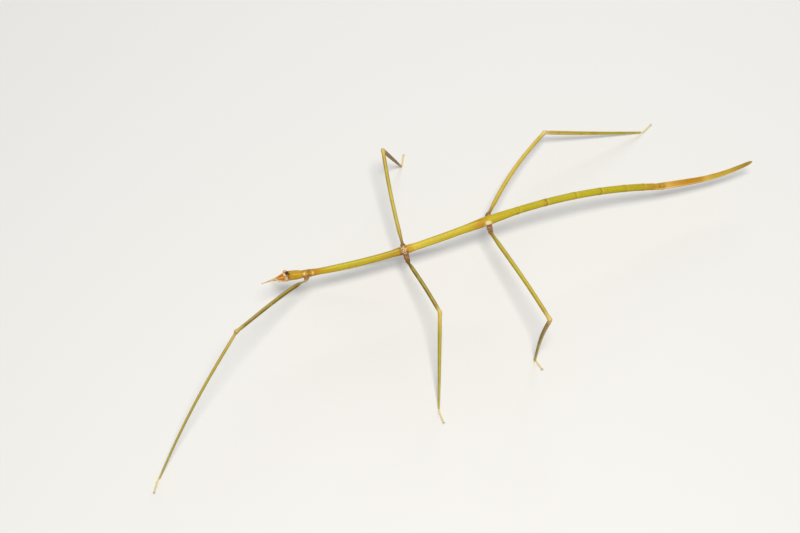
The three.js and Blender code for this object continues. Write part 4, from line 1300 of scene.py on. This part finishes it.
def curve_through(points, steps):
    """A smooth line through points, with the same number of steps between each two."""
    p = np.array([points[0], *points, points[-1]], float)
    t = (np.arange(steps) / steps)[:, None]
    line = [0.5 * (2 * b + (c - a) * t + (2 * a - 5 * b + 4 * c - d) * t ** 2
                   + (3 * b - a - 3 * c + d) * t ** 3)
            for a, b, c, d in zip(p[:-3], p[1:-2], p[2:-1], p[3:])]
    return np.concatenate([*line, [points[-1]]])


def operculum_shell():
    t = np.concatenate([np.linspace(0, 0.06, 9), np.linspace(0.07, 0.94, 110),
                        np.linspace(0.945, 1, 16)])
    d = np.linspace(0, OPERCULUM_LENGTH, OPERCULUM_STEPS + 1)
    slope = np.radians(np.interp(d / OPERCULUM_LENGTH, [0, 0.5, 1], OPERCULUM_PITCHES))
    step = OPERCULUM_LENGTH / OPERCULUM_STEPS
    start = trunk_place(TRUNK_END - OPERCULUM_LAP) - UP * OPERCULUM_DROP
    at = t * OPERCULUM_LENGTH
    places = np.stack([np.interp(at, d, start[0] + run(np.cos(slope), step)),
                       np.full(len(t), start[1]),
                       np.interp(at, d, start[2] + run(np.sin(slope), step))], 1)
    across = np.tile(HER_RIGHT, (len(t), 1))
    above = np.cross(middle_way(np.interp(at, d, slope)), across)

    # Anticlockwise from the keel as seen from the tail: up her right side and down her left
    right = curve_through([*BOAT_OUTSIDE, *BOAT_INSIDE], BOAT_STEPS)
    trough = np.arange(len(right)) > BOAT_STEPS * (len(BOAT_OUTSIDE) - 1)
    wide = np.concatenate([right[:, 0], -right[-2:0:-1, 0]])
    level = np.concatenate([right[:, 1], right[-2:0:-1, 1]])
    inside = np.concatenate([trough, trough[-2:0:-1]])
    dug = between(t, 0.02, 0.14, 0.9, 0.99)[:, None]
    high = np.where(inside, BOAT_FILL + (level - BOAT_FILL) * dug, level)
    close = rounded(t, 0.965, 1.003, 0.02)
    ripple = 1 + 0.012 * np.sin(at * 0.9) + 0.01 * np.sin(at * 2.3 + 1)
    half, depth = eased(OPERCULUM_WIDTHS, t) * close * ripple, eased(OPERCULUM_DEPTHS, t) * close
    return Shell("operculum", places, across, above, wide * half[:, None],
                 high * depth[:, None], t)


def operculum_finish():
    finish = Finish("egg plate cuticle")
    step, fade, tinge = finish.step, finish.fade, finish.tinge
    along, side, height, _ = finish.lay()
    streak = finish.streaks((along, side, height), 4, 2.4, 2.8, 4, 0.6)
    grain = finish.noise(1300, 3, 0.6)
    finish.base = finish.colour_along(along, stops_over(OPERCULUM_TONES, 0, 1))
    tinge(step(streak, 0.5, 0.7) * 0.35, 226, 200, 92)
    tinge(fade(streak, 0.32, 0.48) * 0.45, 160, 96, 18)
    # A cream rim, and a brown trough
    tinge(finish.hump(height, 0.1, 0.28) * 0.55 * fade(along, 0.82, 0.95), 238, 220, 150)
    tinge(step(height, 0.6, 0.97) * 0.3, 168, 118, 34)
    return finish.finished(streak * 0.7 + grain * 0.4, depth=0.00007, strength=0.9,
                           roughness=0.38 + grain * 0.2, specular=0.25)


operculum_mesh = on_its_own(operculum_shell(), operculum_finish())
operculum = shown("egg_plate", smoothed(operculum_mesh, "operculum", crease=60))
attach(operculum, "root")
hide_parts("operculum")

# ------------------------------------------------------------
# Cerci: a pair of small feelers of cuticle, set in the abdomen's tip over the egg plate,
# curled outward.

CERCUS = {"sideways": 0.75, "length": 1.9, "curl": 0.35, "sunk": 0.12}
CERCUS_RADII = [[0, 0.36], [0.25, 0.4], [1, 0.2]]


def cercus_finish():
    finish = Finish("cercus cuticle", 0.5)
    grain = finish.noise(1800, 3, 0.6)
    finish.base = finish.mix(finish.step(grain, 0.4, 0.65), tint(196, 156, 88),
                             tint(238, 222, 170))
    return finish.finished(grain, depth=0.00004, strength=0.7, roughness=0.42 + grain * 0.2)


cercus_skin = cercus_finish()
for side_name, side in SIDES.items():
    start = trunk_place(TRUNK_END + GAP / 2) + HER_RIGHT * side * CERCUS["sideways"]
    t = np.linspace(-CERCUS["sunk"], 1, 26)
    path = start + np.outer(t * CERCUS["length"], trunk_way(TRUNK_END))
    path[:, 1] += side * CERCUS["curl"] * np.sin(np.pi * np.clip(t, 0, 1))
    cercus_shell = leg_shell(f"cercus_{side_name}", path, eased(CERCUS_RADII, t), t, HER_RIGHT)
    cercus = shown(f"tail_cercus_{side_name}", on_its_own(cercus_shell, cercus_skin))
    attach(cercus, "root")
    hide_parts(f"cercus_{side_name}")

# ------------------------------------------------------------
# Claws: each foot ends in a soft sticky pad between two hard curved hooks with dark tips. They
# spread from the foot's end, turn in again at their tips and touch the floor.

CLAW_SPREAD = 32
CLAW_TURN_IN = 46
CLAW_REACH = 1.36
CLAW_RADII = [[0, 0.26], [0.45, 0.22], [1, 0.09]]
CLAW_ARCH = 0.25
CLAW_DIP = 0.16
CLAW_CURVE = 0.35
CLAW_STATIONS = 22
PAD = {"reach": 0.38, "lengths": (0.46, 0.42, 0.36)}
PAD_FACETS = (20, 14)


def claw_finish():
    finish = Finish("claw", 0.3)
    grain = finish.noise(2200, 2, 0.6)
    finish.base = finish.mix(finish.step(finish.lay()[0], 0.3, 0.85), tint(212, 198, 146),
                             tint(120, 78, 40))
    finish.tinge(finish.step(grain, 0.5, 0.7) * 0.3, 226, 210, 160)
    return finish.finished(grain, depth=0.00002, strength=0.5, roughness=0.25 + grain * 0.2)


def pad_finish():
    finish = Finish("foot pad", 0.6)
    grain = finish.noise(3000, 2, 0.6)
    finish.base = finish.mix(grain, tint(188, 170, 116), tint(226, 214, 168))
    return finish.finished(grain, depth=0.00004, strength=0.8)


def claw_shell(toe, heading, side, turn):
    t = np.linspace(0, 1, CLAW_STATIONS)
    way = pointing(side, heading + CLAW_SPREAD * turn)
    bend = pointing(side, heading + (CLAW_SPREAD - CLAW_TURN_IN) * turn)
    curve = (t ** 2)[:, None] * CLAW_CURVE
    path = toe + (t * CLAW_REACH)[:, None] * (way * (1 - curve) + bend * curve)
    path[:, 2] += CLAW_ARCH * np.sin(np.pi * t) - CLAW_DIP * t ** 3
    return leg_shell("hook", path, eased(CLAW_RADII, t), t, np.cross(way, UP))


claw_skins = [claw_finish(), pad_finish()]
for leg_name, (toe, heading, side) in toes.items():
    foot_way = pointing(side, heading)
    axes = np.stack([foot_way, np.cross(UP, foot_way), UP], 1)
    pad_mesh = ball("pad", axes, toe + foot_way * PAD["reach"], PAD["lengths"], PAD_FACETS)
    for finish in claw_skins:
        pad_mesh.materials.append(finish)
    pad_mesh.polygons.foreach_set("material_index", np.ones(len(pad_mesh.polygons), np.int32))
    hooks = [shown("hook", on_its_own(claw_shell(toe, heading, side, turn), *claw_skins))
             for turn in (-1, 1)]
    claw_mesh = united(shown("pad", pad_mesh), *hooks)
    for vertex in claw_mesh.vertices:
        vertex.co.z = max(vertex.co.z, 0)
    smoothed(claw_mesh, f"claws_{leg_name}", crease=50)
    claws = shown(f"foot_claws_{leg_name}", claw_mesh)
    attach(claws, "root")
    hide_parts(f"claws_{leg_name}")
